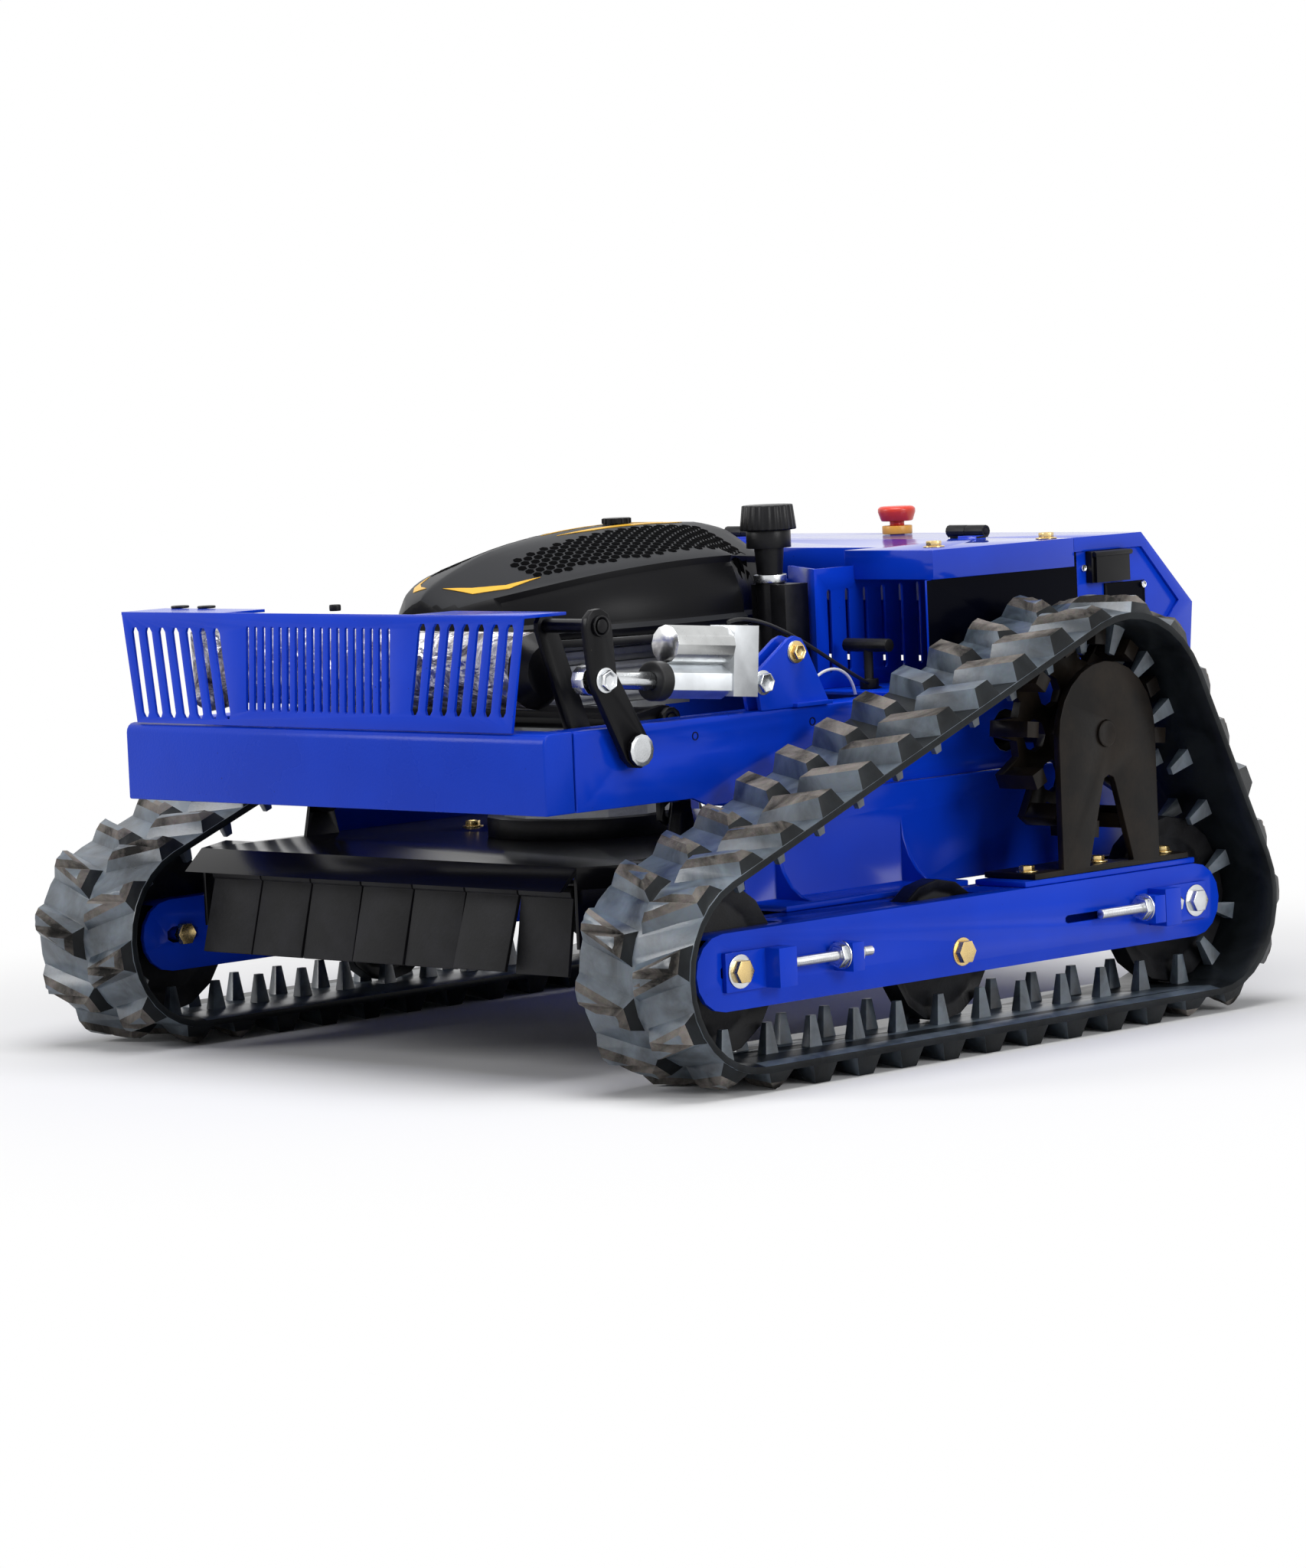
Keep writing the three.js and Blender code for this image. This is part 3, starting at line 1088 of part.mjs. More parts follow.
// Cowl: lofted shell over the plate
function makeCowl() {
  const section = ({ y, foot, shoulder, side, brow, crest }, inset) => {
    const f = foot - inset;
    const s = shoulder - inset;
    const low = inset > 0 ? cowl.low - overrun : cowl.low;
    const ridge = side - inset;
    const waist = (ridge + cowl.low) / 2;
    const top = brow - inset;
    return [
      [-f, y, low], [f, y, low], [f, y, waist], [s, y, ridge], [s * cowlBrowShare, y, top],
      [0, y, crest - inset], [-s * cowlBrowShare, y, top], [-s, y, ridge], [-f, y, waist],
    ];
  };
  const outer = loft(cowlStations.map((station) => section(station, 0)));
  const count = cowlStations.length;
  const inner = loft(cowlStations.map((station, i) => {
    const shift = i === 0 ? cowl.wall : i === count - 1 ? -cowl.wall : 0;
    return section({ ...station, y: station.y + shift }, cowl.wall);
  }));
  return outer.subtract(inner);
}

place("engine_cowl", makeCowl(), "cowl");

// Muffler: wrapped drum across the front of the engine with its pipe
function makeMuffler() {
  const { y, z, radius, halfX, endRadius, taper, pipeRadius, pipeX } = muffler;
  const drum = turned("x", y, z, [
    [0, -halfX], [endRadius, -halfX], [radius, -halfX + taper], [radius, halfX - taper], [endRadius, halfX],
    [0, halfX],
  ], 16);
  const pipe = rod("y", pipeX, z - radius / 2, pipeRadius, y, engine.finFrontY - gap, 10);
  return drum.add(pipe);
}

place("muffler", makeMuffler(), "heatWrap");

// Fuel tank with its filler, cast on to the block, and the cap
function makeTank() {
  const f = fuel;
  const tank = box([f.tankX0, f.tankX1], [f.tankY0, f.tankY1], [f.tankLow, f.tankTop]);
  const filler = turned("z", f.x, f.y, [
    [0, f.tankLow + overrun], [f.baseRadius, f.tankLow + overrun], [f.baseRadius, f.neckLow],
    [f.neckRadius, f.neckLow], [f.neckRadius, f.collarLow], [f.collarRadius, f.collarLow],
    [f.collarRadius, f.capLow - gap], [0, f.capLow - gap],
  ], 16);
  return tank.add(filler);
}

place("engine_block", makeEngine(), "castAlloy");

const capOutline = Array.from({ length: fuel.ridges * 2 }, (_, i) => {
  const a = (Math.PI * i) / fuel.ridges;
  const radius = i % 2 ? fuel.capRadius - fuel.ridge : fuel.capRadius;
  return [fuel.x + radius * Math.cos(a), fuel.y + radius * Math.sin(a)];
});
place("fuel_cap", prism("z", capOutline, fuel.capLow, fuel.capTop), "black");

// Recoil starter grip on its stem
const gripFoot = trayTop + gap;
place("recoil_grip", join([
  rod("x", grip.y, grip.z, grip.radius, grip.x - grip.length / 2, grip.x + grip.length / 2, 12),
  rod("z", grip.x, grip.y, grip.stemRadius, gripFoot, grip.z, 12),
  rod("z", grip.x, grip.y, grip.footRadius, gripFoot, gripFoot + grip.foot, 12),
]), "black");

export default group;
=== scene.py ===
# Remote control slope mower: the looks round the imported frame, in metres.
import json
import math

import bpy
from mathutils import Matrix, Vector


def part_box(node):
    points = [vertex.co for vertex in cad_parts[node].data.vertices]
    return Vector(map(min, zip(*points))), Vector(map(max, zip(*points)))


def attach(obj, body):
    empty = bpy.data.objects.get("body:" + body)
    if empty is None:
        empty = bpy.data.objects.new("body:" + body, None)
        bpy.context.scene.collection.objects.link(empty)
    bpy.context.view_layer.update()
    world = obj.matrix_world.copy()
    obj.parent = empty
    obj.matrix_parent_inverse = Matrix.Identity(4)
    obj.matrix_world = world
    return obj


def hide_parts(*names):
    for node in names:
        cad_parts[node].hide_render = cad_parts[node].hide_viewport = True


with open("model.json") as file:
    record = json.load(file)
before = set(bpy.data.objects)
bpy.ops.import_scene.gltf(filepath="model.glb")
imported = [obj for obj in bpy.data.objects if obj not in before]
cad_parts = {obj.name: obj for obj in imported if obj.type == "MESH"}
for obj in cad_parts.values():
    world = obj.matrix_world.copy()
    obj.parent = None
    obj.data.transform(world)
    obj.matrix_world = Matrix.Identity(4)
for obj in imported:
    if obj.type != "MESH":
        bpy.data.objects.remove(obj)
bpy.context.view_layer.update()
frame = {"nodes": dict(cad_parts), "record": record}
bpy.ops.object.select_all(action="DESELECT")

# Camera: it stands where the photograph was taken from, about six metres off the front left corner,
# a little above the machine, with a long lens and a slight roll.
camera_place = Vector((4.42385, -4.39252, 0.75229))
heading, dip, roll = math.radians(45.37), math.radians(4.60), math.radians(-2.49)
look = Vector((-math.sin(heading) * math.cos(dip), math.cos(heading) * math.cos(dip), -math.sin(dip)))
across = Vector((math.cos(heading), math.sin(heading), 0))
upward = across.cross(look)
right = across * math.cos(roll) + upward * math.sin(roll)
top = upward * math.cos(roll) - across * math.sin(roll)
camera = bpy.data.objects.new("camera", bpy.data.cameras.new("camera"))
camera.data.sensor_fit = "HORIZONTAL"
camera.data.sensor_width = 36
camera.data.lens = 164.76
camera.data.clip_end = 60
camera.matrix_world = Matrix.Translation(camera_place) @ Matrix((right, top, -look)).transposed().to_4x4()
bpy.context.scene.collection.objects.link(camera)
bpy.context.scene.camera = camera
bpy.context.scene.view_settings.view_transform = "Standard"


# Studio: a pale floor that fades to white round the machine, a white surround and three soft lamps.
# The floor keeps the machine's shadow. Camera, mirror and glass rays see the surround at full white.
def soft_lamp(name, place, target, width, power):
    lamp = bpy.data.objects.new(name, bpy.data.lights.new(name, "AREA"))
    lamp.data.shape = "DISK"
    lamp.data.size = width
    lamp.data.energy = power
    lamp.location = place
    lamp.rotation_euler = (Vector(target) - Vector(place)).to_track_quat("-Z", "Y").to_euler()
    bpy.context.scene.collection.objects.link(lamp)


def settle(piece):
    piece.data.transform(piece.matrix_world)
    piece.matrix_world = Matrix.Identity(4)


soft_lamp("lamp_overhead", (0.5, -0.4, 3.4), (0, 0, 0.2), 2.6, 96)
soft_lamp("lamp_left", (-2.4, -3.4, 2.2), (0, 0, 0.2), 1.8, 64)
soft_lamp("lamp_right", (4.2, 0.2, 1.8), (0, 0, 0.2), 1.8, 66)
surround = bpy.data.worlds.new("surround")
surround.use_nodes = True
bpy.context.scene.world = surround
tree = surround.node_tree
dim = tree.nodes["Background"]
dim.inputs["Color"].default_value = (1, 1, 1, 1)
dim.inputs["Strength"].default_value = 0.22
white = tree.nodes.new("ShaderNodeBackground")
white.inputs["Color"].default_value = (1, 1, 1, 1)
white.inputs["Strength"].default_value = 1.0
ray = tree.nodes.new("ShaderNodeLightPath")
camera_or_glass = tree.nodes.new("ShaderNodeMath")
camera_or_glass.operation = "MAXIMUM"
tree.links.new(ray.outputs["Is Camera Ray"], camera_or_glass.inputs[0])
tree.links.new(ray.outputs["Is Transmission Ray"], camera_or_glass.inputs[1])
or_mirror = tree.nodes.new("ShaderNodeMath")
or_mirror.operation = "MAXIMUM"
tree.links.new(camera_or_glass.outputs[0], or_mirror.inputs[0])
tree.links.new(ray.outputs["Is Glossy Ray"], or_mirror.inputs[1])
choose = tree.nodes.new("ShaderNodeMixShader")
tree.links.new(or_mirror.outputs[0], choose.inputs["Fac"])
tree.links.new(dim.outputs[0], choose.inputs[1])
tree.links.new(white.outputs[0], choose.inputs[2])
tree.links.new(choose.outputs[0], tree.nodes["World Output"].inputs["Surface"])

bpy.ops.mesh.primitive_circle_add(vertices=96, radius=14, fill_type="NGON", location=(0, 0, -0.0004))
floor = bpy.context.active_object
floor.name = "studio_floor"
settle(floor)
floor_paint = bpy.data.materials.new("studio_floor")
floor_paint.use_nodes = True
tree = floor_paint.node_tree
cover = tree.nodes["Principled BSDF"]
cover.inputs["Base Color"].default_value = (0.8, 0.8, 0.81, 1)
cover.inputs["Roughness"].default_value = 0.9
cover.inputs["Specular IOR Level"].default_value = 0.1
glow = tree.nodes.new("ShaderNodeEmission")
spot = tree.nodes.new("ShaderNodeTexCoord")
reach = tree.nodes.new("ShaderNodeVectorMath")
reach.operation = "LENGTH"
fade = tree.nodes.new("ShaderNodeMapRange")
fade.interpolation_type = "SMOOTHSTEP"
fade.inputs["From Min"].default_value = 0.5
fade.inputs["From Max"].default_value = 1.35
tree.links.new(spot.outputs["Object"], reach.inputs[0])
tree.links.new(reach.outputs["Value"], fade.inputs["Value"])
blend = tree.nodes.new("ShaderNodeMixShader")
tree.links.new(fade.outputs["Result"], blend.inputs["Fac"])
tree.links.new(cover.outputs[0], blend.inputs[1])
tree.links.new(glow.outputs[0], blend.inputs[2])
tree.links.new(blend.outputs[0], tree.nodes["Material Output"].inputs["Surface"])
floor.data.materials.append(floor_paint)


# Side rails, side plates and rear tray: folded and welded sheet steel in blue powder coat.
# The coat is glossy, with a fine orange peel, faint cloudiness, and small dark chips.
def new_finish(name):
    finish = bpy.data.materials.new(name)
    finish.use_nodes = True
    tree = finish.node_tree
    return finish, tree, tree.nodes["Principled BSDF"], tree.nodes.new("ShaderNodeTexCoord")


def add_noise(tree, where, scale, detail, roughness=0.5, distortion=0.0):
    pattern = tree.nodes.new("ShaderNodeTexNoise")
    pattern.inputs["Scale"].default_value = scale
    pattern.inputs["Detail"].default_value = detail
    pattern.inputs["Roughness"].default_value = roughness
    pattern.inputs["Distortion"].default_value = distortion
    tree.links.new(where.outputs["Object"], pattern.inputs["Vector"])
    return pattern


def two_tones(tree, pattern, low, dark, high, pale):
    tone = tree.nodes.new("ShaderNodeValToRGB")
    tone.color_ramp.elements[0].position = low
    tone.color_ramp.elements[0].color = (*dark, 1)
    tone.color_ramp.elements[1].position = high
    tone.color_ramp.elements[1].color = (*pale, 1)
    tree.links.new(pattern.outputs["Fac"], tone.inputs["Fac"])
    return tone.outputs["Color"]


def vary_sheen(tree, shader, pattern, least, most):
    sheen = tree.nodes.new("ShaderNodeMapRange")
    sheen.inputs["To Min"].default_value = least
    sheen.inputs["To Max"].default_value = most
    tree.links.new(pattern.outputs["Fac"], sheen.inputs["Value"])
    tree.links.new(sheen.outputs["Result"], shader.inputs["Roughness"])


def add_bump(tree, shader, height, strength, distance):
    bump = tree.nodes.new("ShaderNodeBump")
    bump.inputs["Strength"].default_value = strength
    bump.inputs["Distance"].default_value = distance
    tree.links.new(height, bump.inputs["Height"])
    tree.links.new(bump.outputs["Normal"], shader.inputs["Normal"])


def coated_steel(name, colour, chipped, roughness, gloss, peel=0.03, chip=0.7):
    finish, tree, shader, where = new_finish(name)
    shader.inputs["Specular IOR Level"].default_value = gloss
    clouds = add_noise(tree, where, 8, 5)
    specks = add_noise(tree, where, 190, 5, 0.65)
    skin = add_noise(tree, where, 420, 1)
    chips = tree.nodes.new("ShaderNodeMapRange")
    chips.inputs["From Min"].default_value = chip
    chips.inputs["From Max"].default_value = chip + 0.04
    tree.links.new(specks.outputs["Fac"], chips.inputs["Value"])
    shaded = (colour[0] * 0.82, colour[1] * 0.82, colour[2] * 0.86)
    layer = tree.nodes.new("ShaderNodeMix")
    layer.data_type = "RGBA"
    layer.inputs["B"].default_value = (*chipped, 1)
    tree.links.new(chips.outputs["Result"], layer.inputs["Factor"])
    tree.links.new(two_tones(tree, clouds, 0.35, shaded, 0.7, colour), layer.inputs["A"])
    tree.links.new(layer.outputs["Result"], shader.inputs["Base Color"])
    vary_sheen(tree, shader, clouds, roughness * 0.8, roughness * 1.25)
    add_bump(tree, shader, skin.outputs["Fac"], peel, 0.001)
    return finish


def body_of_node(node):
    groups = frame["record"]["behaviour"]["bodies"]
    return next(body for body, members in groups.items() if node in members)


def pick_up(piece):
    bpy.ops.object.select_all(action="DESELECT")
    piece.select_set(True)
    bpy.context.view_layer.objects.active = piece


def dress(piece, finish, body):
    piece.data.materials.clear()
    piece.data.materials.append(finish)
    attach(piece, body)


def eased_copy(node, edge, finish, steps=2, smooth=32, rework=None):
    piece = bpy.data.objects.new(f"{node}_made", frame["nodes"][node].data.copy())
    bpy.context.scene.collection.objects.link(piece)
    pick_up(piece)
    bpy.ops.object.mode_set(mode="EDIT")
    bpy.ops.mesh.select_all(action="SELECT")
    bpy.ops.mesh.remove_doubles(threshold=0.00001)
    bpy.ops.mesh.dissolve_limited(angle_limit=math.radians(0.6))
    bpy.ops.object.mode_set(mode="OBJECT")
    if rework:
        rework(piece)
    bevel = piece.modifiers.new("eased", "BEVEL")
    bevel.width = edge
    bevel.segments = steps
    bevel.limit_method = "ANGLE"
    bevel.angle_limit = math.radians(28)
    bpy.ops.object.modifier_apply(modifier="eased")
    bpy.ops.object.shade_smooth_by_angle(angle=math.radians(smooth))
    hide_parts(node)
    dress(piece, finish, body_of_node(node))
    return piece


blue_coat = coated_steel("blue_coat", (0.003, 0.047, 0.6), (0.003, 0.014, 0.12), 0.18, 0.16)
for node in ("side_rail_left", "side_rail_right", "side_plate_left", "side_plate_right", "rear_tray"):
    eased_copy(node, 0.0015, blue_coat)


# Rail holes: two are drilled in each rail ahead of the actuator bracket and coated with it.
# Each is a shallow recess with a fine rim, painted near black as painted shade inside the hole.
def select_faces(piece, wanted):
    bpy.ops.object.mode_set(mode="EDIT")
    bpy.ops.mesh.select_all(action="DESELECT")
    bpy.ops.object.mode_set(mode="OBJECT")
    for face in piece.data.polygons:
        face.select = wanted(face)
    bpy.ops.object.mode_set(mode="EDIT")


def fitted_copy(model, name, place, facing, body, finish, turn=0.0):
    piece = bpy.data.objects.new(name, model.data.copy())
    bpy.context.scene.collection.objects.link(piece)
    aim = Vector((0, 0, 1)).rotation_difference(Vector(facing)).to_matrix().to_4x4()
    piece.data.transform(Matrix.Translation(Vector(place)) @ aim @ Matrix.Rotation(turn, 4, "Z"))
    dress(piece, finish, body)
    return piece


bpy.ops.mesh.primitive_cylinder_add(vertices=20, radius=0.0042, depth=0.0012, location=(0, 0, 0.0001))
hole_model = bpy.context.active_object
select_faces(hole_model, lambda face: face.normal.z > 0.9)
bpy.ops.mesh.inset(thickness=0.0009)
bpy.ops.mesh.extrude_region_move(TRANSFORM_OT_translate={"value": (0, 0, -0.0008)})
bpy.ops.object.mode_set(mode="OBJECT")
settle(hole_model)
hole_shade_paint = coated_steel("hole_shadow", (0.004, 0.005, 0.01), (0.01, 0.01, 0.01), 0.5, 0.1)
rail_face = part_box("side_rail_left")[1][0]
for side in (-1, 1):
    for count, (y, z) in enumerate(((-0.271, 0.329), (-0.105, 0.33))):
        name = f"rail_hole_{'right' if side < 0 else 'left'}_{count + 1}"
        place = (side * rail_face, y, z)
        fitted_copy(hole_model, name, place, (side, 0, 0), "chassis", hole_shade_paint)
bpy.data.objects.remove(hole_model)

# Front bumper: a channel folded from sheet, welded across the rail ends, in the same coat
# with a coarser orange peel on its broad face.
bumper_coat = coated_steel("bumper_coat", (0.003, 0.043, 0.52), (0.003, 0.014, 0.14), 0.28, 0.14, 0.16)
eased_copy("front_bumper", 0.0022, bumper_coat, 3)

# Front guard: laser cut sheet with three panels, bolted on top of the bumper.
# Two low bolt heads hold its left flange, and a small knob stands at its middle.
eased_copy("front_guard", 0.0008, blue_coat)


def soften(piece, width, steps, smooth=None):
    pick_up(piece)
    bevel = piece.modifiers.new("eased", "BEVEL")
    bevel.width = width
    bevel.segments = steps
    bpy.ops.object.modifier_apply(modifier="eased")
    if smooth:
        bpy.ops.object.shade_smooth_by_angle(angle=math.radians(smooth))


def shaped_head(sides, radius, height, flange, dished):
    bpy.ops.mesh.primitive_cylinder_add(vertices=sides, radius=radius, depth=height, location=(0, 0, height / 2))
    head = bpy.context.active_object
    select_faces(head, lambda face: face.normal.z > 0.9)
    bpy.ops.mesh.inset(thickness=radius * 0.16)
    bpy.ops.mesh.inset(thickness=radius * 0.24)
    bpy.ops.transform.translate(value=(0, 0, -height * dished))
    bpy.ops.object.mode_set(mode="OBJECT")
    settle(head)
    if flange:
        thick = height * 0.22
        bpy.ops.mesh.primitive_cylinder_add(vertices=28, radius=flange, depth=thick, location=(0, 0, thick / 2))
        settle(bpy.context.active_object)
        head.select_set(True)
        bpy.context.view_layer.objects.active = head
        bpy.ops.object.join()
    soften(head, radius * 0.09, 2, 35)
    return head


black_oxide = coated_steel("black_oxide", (0.01, 0.01, 0.011), (0.06, 0.05, 0.04), 0.35, 0.2)
guard_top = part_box("front_guard")[1][2]
knob_model = shaped_head(16, 0.0095, 0.0026, 0, 0.2)
for count, (x, y) in enumerate(((-0.292, -0.41), (-0.252, -0.4085))):
    fitted_copy(knob_model, f"guard_bolt_{count + 1}", (x, y, guard_top), (0, 0, 1), "chassis",
                black_oxide)
knob = fitted_copy(knob_model, "guard_knob", (0, 0, 0), (0, 0, 1), "chassis", black_oxide)
knob.data.transform(Matrix.Translation((-0.03, -0.43, guard_top)) @ Matrix.Diagonal((0.62, 0.62, 2.4, 1)))
bpy.data.objects.remove(knob_model)


# Track beams and saddle plates: inverted channels of blue coated sheet. The middle wheel's bolt
# passes through each beam, with yellow zinc hexagon heads over plain washers.
def plated_metal(name, colour, roughness, grain_scale, bump_strength, thread_pitch=0.0):
    finish, tree, shader, where = new_finish(name)
    shader.inputs["Metallic"].default_value = 1
    clouds = add_noise(tree, where, 45, 6)
    grain = add_noise(tree, where, grain_scale, 4)
    shaded = [part * 0.84 for part in colour]
    tree.links.new(two_tones(tree, clouds, 0.3, shaded, 0.6, colour), shader.inputs["Base Color"])
    vary_sheen(tree, shader, grain, roughness * 0.7, roughness * 1.35)
    height = grain.outputs["Fac"]
    if thread_pitch:
        ridges = tree.nodes.new("ShaderNodeTexWave")
        ridges.bands_direction = "Y"
        ridges.inputs["Scale"].default_value = 0.314 / thread_pitch
        tree.links.new(where.outputs["Object"], ridges.inputs["Vector"])
        height = ridges.outputs["Fac"]
    add_bump(tree, shader, height, bump_strength, 0.0008)
    return finish


def paint_where(piece, finish, belongs):
    piece.data.materials.append(finish)
    number = len(piece.data.materials) - 1
    for face in piece.data.polygons:
        if belongs(face.center, face.normal):
            face.material_index = number


yellow_zinc = plated_metal("yellow_zinc", (0.78, 0.58, 0.26), 0.26, 600, 0.08)
white_zinc = plated_metal("white_zinc", (0.72, 0.74, 0.76), 0.24, 600, 0.08)
mid_axle = (-0.0475, 0.0995)
bolt_head = 0.0135
for side in ("left", "right"):
    beam = eased_copy(f"track_beam_{side}", 0.0012, blue_coat)
    paint_where(beam, yellow_zinc, lambda centre, normal: (
        math.dist((centre.y, centre.z), mid_axle) < bolt_head and abs(centre.x) > 0.4476))
    eased_copy(f"saddle_plate_{side}", 0.0012, blue_coat)

washer_model = shaped_head(30, 0.0165, 0.0014, 0, 0.0)
small_washer = shaped_head(30, 0.0142, 0.0014, 0, 0.0)
beam_face = 0.4475
for side in (-1, 1):
    fitted_copy(small_washer, f"axle_washer_{'right' if side < 0 else 'left'}", (side * beam_face, *mid_axle),
                (side, 0, 0), "chassis", yellow_zinc)
bpy.data.objects.remove(small_washer)

# Screw tensioners: blue angle plate with the wheel's axle bolt, a blue nut block, and a plated threaded
# rod that runs to the lug on the beam, where a lock nut and washer hold it.
threaded_rod = plated_metal("threaded_rod", (0.7, 0.71, 0.72), 0.3, 600, 0.55, 0.00175)
rod_line = (0.4595, 0.1169)
rod_radius, nut_reach = 0.0056, 0.0115
plate_face, inner_face = 0.4529, 0.3643
nut_model = shaped_head(6, 0.0128, 0.0092, 0.0142, 0.1)
nuts = {"front": ((-0.2325, -1, 1.0), (-0.2158, 1, 0.8)), "rear": ((0.2168, -1, 1.0), (0.2605, 1, 0.8))}
tensioners = {
    "front": {"axle": (-0.367, 0.115), "block": (-0.3325, -0.3075), "nut": (-0.2417, -0.232), "bolt": yellow_zinc},
    "rear": {"axle": (0.3046, 0.115), "block": (0.2355, 0.2605), "nut": (0.2331, 0.2357), "bolt": white_zinc},
}
for end, kit in tensioners.items():
    for side in ("left", "right"):
        screw = eased_copy(f"{end}_tensioner_{side}", 0.0007, blue_coat)
        low, high = kit["block"]
        paint_where(screw, threaded_rod, lambda centre, normal: (
            math.dist((abs(centre.x), centre.z), rod_line) < rod_radius and not low < centre.y < high))
        paint_where(screw, white_zinc, lambda centre, normal: (
            rod_radius <= math.dist((abs(centre.x), centre.z), rod_line) < nut_reach
            and kit["nut"][0] - 0.0004 < centre.y < kit["nut"][1]))
        paint_where(screw, kit["bolt"], lambda centre, normal: (
            math.dist((centre.y, centre.z), kit["axle"]) < bolt_head
            and (abs(centre.x) > plate_face or abs(centre.x) < inner_face)))
        sign = 1 if side == "left" else -1
        fitted_copy(washer_model, f"{end}_bolt_washer_{side}", (sign * plate_face, *kit["axle"]), (sign, 0, 0),
                    "chassis", white_zinc)
        rod_washer = fitted_copy(washer_model, f"{end}_rod_washer_{side}", (0, 0, 0), (0, -1, 0), "chassis",
                                 white_zinc)
        rod_washer.data.transform(Matrix.Scale(0.72, 4, (1, 0, 0)) @ Matrix.Scale(0.72, 4, (0, 0, 1)))
        lug = -0.2323 if end == "front" else 0.217
        rod_washer.data.transform(Matrix.Translation((sign * rod_line[0], lug, rod_line[1])))
        for count, (place, way, size) in enumerate(nuts[end]):
            nut = fitted_copy(nut_model, f"{end}_rod_nut_{count + 1}_{side}", (0, 0, 0), (0, way, 0), "chassis",
                              white_zinc, 0.3 + count)
            nut.data.transform(Matrix.Translation((sign * rod_line[0], place, rod_line[1])) @ Matrix.Scale(size, 4))
bpy.data.objects.remove(washer_model)
bpy.data.objects.remove(nut_model)


# Wheels: moulded black rubber on steel, three to a side, free on their axle bolts.
# Sprockets and arch shaped outer bearing supports: burnt cut plate in thin black paint, scuffed and oily.
def scuffed_black(name, dark, pale, roughness, gloss, scale, bump_strength):
    finish, tree, shader, where = new_finish(name)
    shader.inputs["Specular IOR Level"].default_value = gloss
    patches = add_noise(tree, where, scale, 8, 0.62)
    grain = add_noise(tree, where, scale * 14, 5)
    tree.links.new(two_tones(tree, patches, 0.42, dark, 0.72, pale), shader.inputs["Base Color"])
    vary_sheen(tree, shader, patches, roughness * 0.75, roughness * 1.3)
    add_bump(tree, shader, grain.outputs["Fac"], bump_strength, 0.0012)
    return finish


wheel_rubber = scuffed_black("wheel_rubber", (0.004, 0.004, 0.005), (0.014, 0.015, 0.018), 0.42, 0.18, 24, 0.2)
plate_black = scuffed_black("plate_black", (0.005, 0.004, 0.0035), (0.018, 0.013, 0.009), 0.32, 0.16, 16, 0.1)
for side in ("left", "right"):
    for wheel in ("front_wheel", "middle_wheel", "rear_wheel"):
        eased_copy(f"{wheel}_{side}", 0.0022, wheel_rubber)
    eased_copy(f"drive_sprocket_{side}", 0.0018, plate_black)
    eased_copy(f"gearmotor_{side}", 0.0012, plate_black)
    eased_copy(f"arch_support_{side}", 0.0016, plate_black, 3)

# Arch fastenings: three yellow zinc bolts through the base of each arch, and the bearing's
# raised cap ring at the middle of its plate.
bolt_model = shaped_head(6, 0.0082, 0.0066, 0.0112, 0.35)
arch_low, arch_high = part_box("arch_support_left")
base_top = arch_low[2] + 0.006
ring_model = shaped_head(32, 0.0135, 0.0022, 0, 0.75)
for side in (-1, 1):
    hand = "right" if side < 0 else "left"
    for count, y in enumerate((0.0815, 0.1887, 0.2915)):
        fitted_copy(bolt_model, f"arch_bolt_{hand}_{count + 1}", (side * 0.4215, y, base_top), (0, 0, 1), "chassis",
                    yellow_zinc, 0.3 + count)
    fitted_copy(ring_model, f"bearing_cap_{hand}", (side * arch_high[0], 0.184, 0.297), (side, 0, 0), "chassis",
                plate_black)
bpy.data.objects.remove(ring_model)


# Track belts: one endless moulding of natural rubber each, with two rows of lugs outside and two of guide
# horns inside. The flanks and horns are blue grey, partly the rubber's own tone and partly painted sheen; the lug
# tips are torn and dusty, the inner face is black.
def mottled_rubber(name, dark, light_tone, roughness, gloss, bump_strength):
    finish, tree, shader, where = new_finish(name)
    shader.inputs["Specular IOR Level"].default_value = gloss
    patches = add_noise(tree, where, 20, 5, 0.6, 0.6)
    grain = add_noise(tree, where, 210, 7, 0.7)
    speckle = tree.nodes.new("ShaderNodeMix")
    speckle.data_type = "RGBA"
    speckle.blend_type = "MULTIPLY"
    speckle.inputs["Factor"].default_value = 0.3
    tree.links.new(two_tones(tree, patches, 0.36, dark, 0.64, light_tone), speckle.inputs["A"])
    tree.links.new(grain.outputs["Color"], speckle.inputs["B"])
    tree.links.new(speckle.outputs["Result"], shader.inputs["Base Color"])
    vary_sheen(tree, shader, patches, roughness * 0.75, roughness * 1.3)
    add_bump(tree, shader, grain.outputs["Fac"], bump_strength, 0.0014)
    return finish


flank_sheen_rubber = mottled_rubber("flank_sheen_rubber", (0.03, 0.041, 0.054), (0.13, 0.165, 0.205), 0.3, 0.66, 0.1)
torn_rubber = mottled_rubber("torn_rubber", (0.018, 0.017, 0.016), (0.27, 0.245, 0.225), 0.85, 0.12, 1.0)
body_rubber = mottled_rubber("body_rubber", (0.004, 0.005, 0.006), (0.012, 0.015, 0.018), 0.36, 0.16, 0.12)
turns = [(-0.367, 0.115, 0.087), (-0.0475, 0.0995, 0.071), (0.3046, 0.115, 0.087), (0.184, 0.298, 0.113)]
directions = [(math.cos(a), math.sin(a)) for a in (math.radians(4 * step) for step in range(90))]
tangents = [(dy, dz, max(y * dy + z * dz + radius for y, z, radius in turns)) for dy, dz in directions]


def height_over_belt(point):
    return max(point.y * dy + point.z * dz - line for dy, dz, line in tangents)


def outward_over_belt(point):
    dy, dz, line = max(tangents, key=lambda row: point.y * row[0] + point.z * row[1] - row[2])
    return Vector((0, dy, dz))


def tip_height(belt):
    return max(height_over_belt(vertex.co) for vertex in belt.data.vertices)


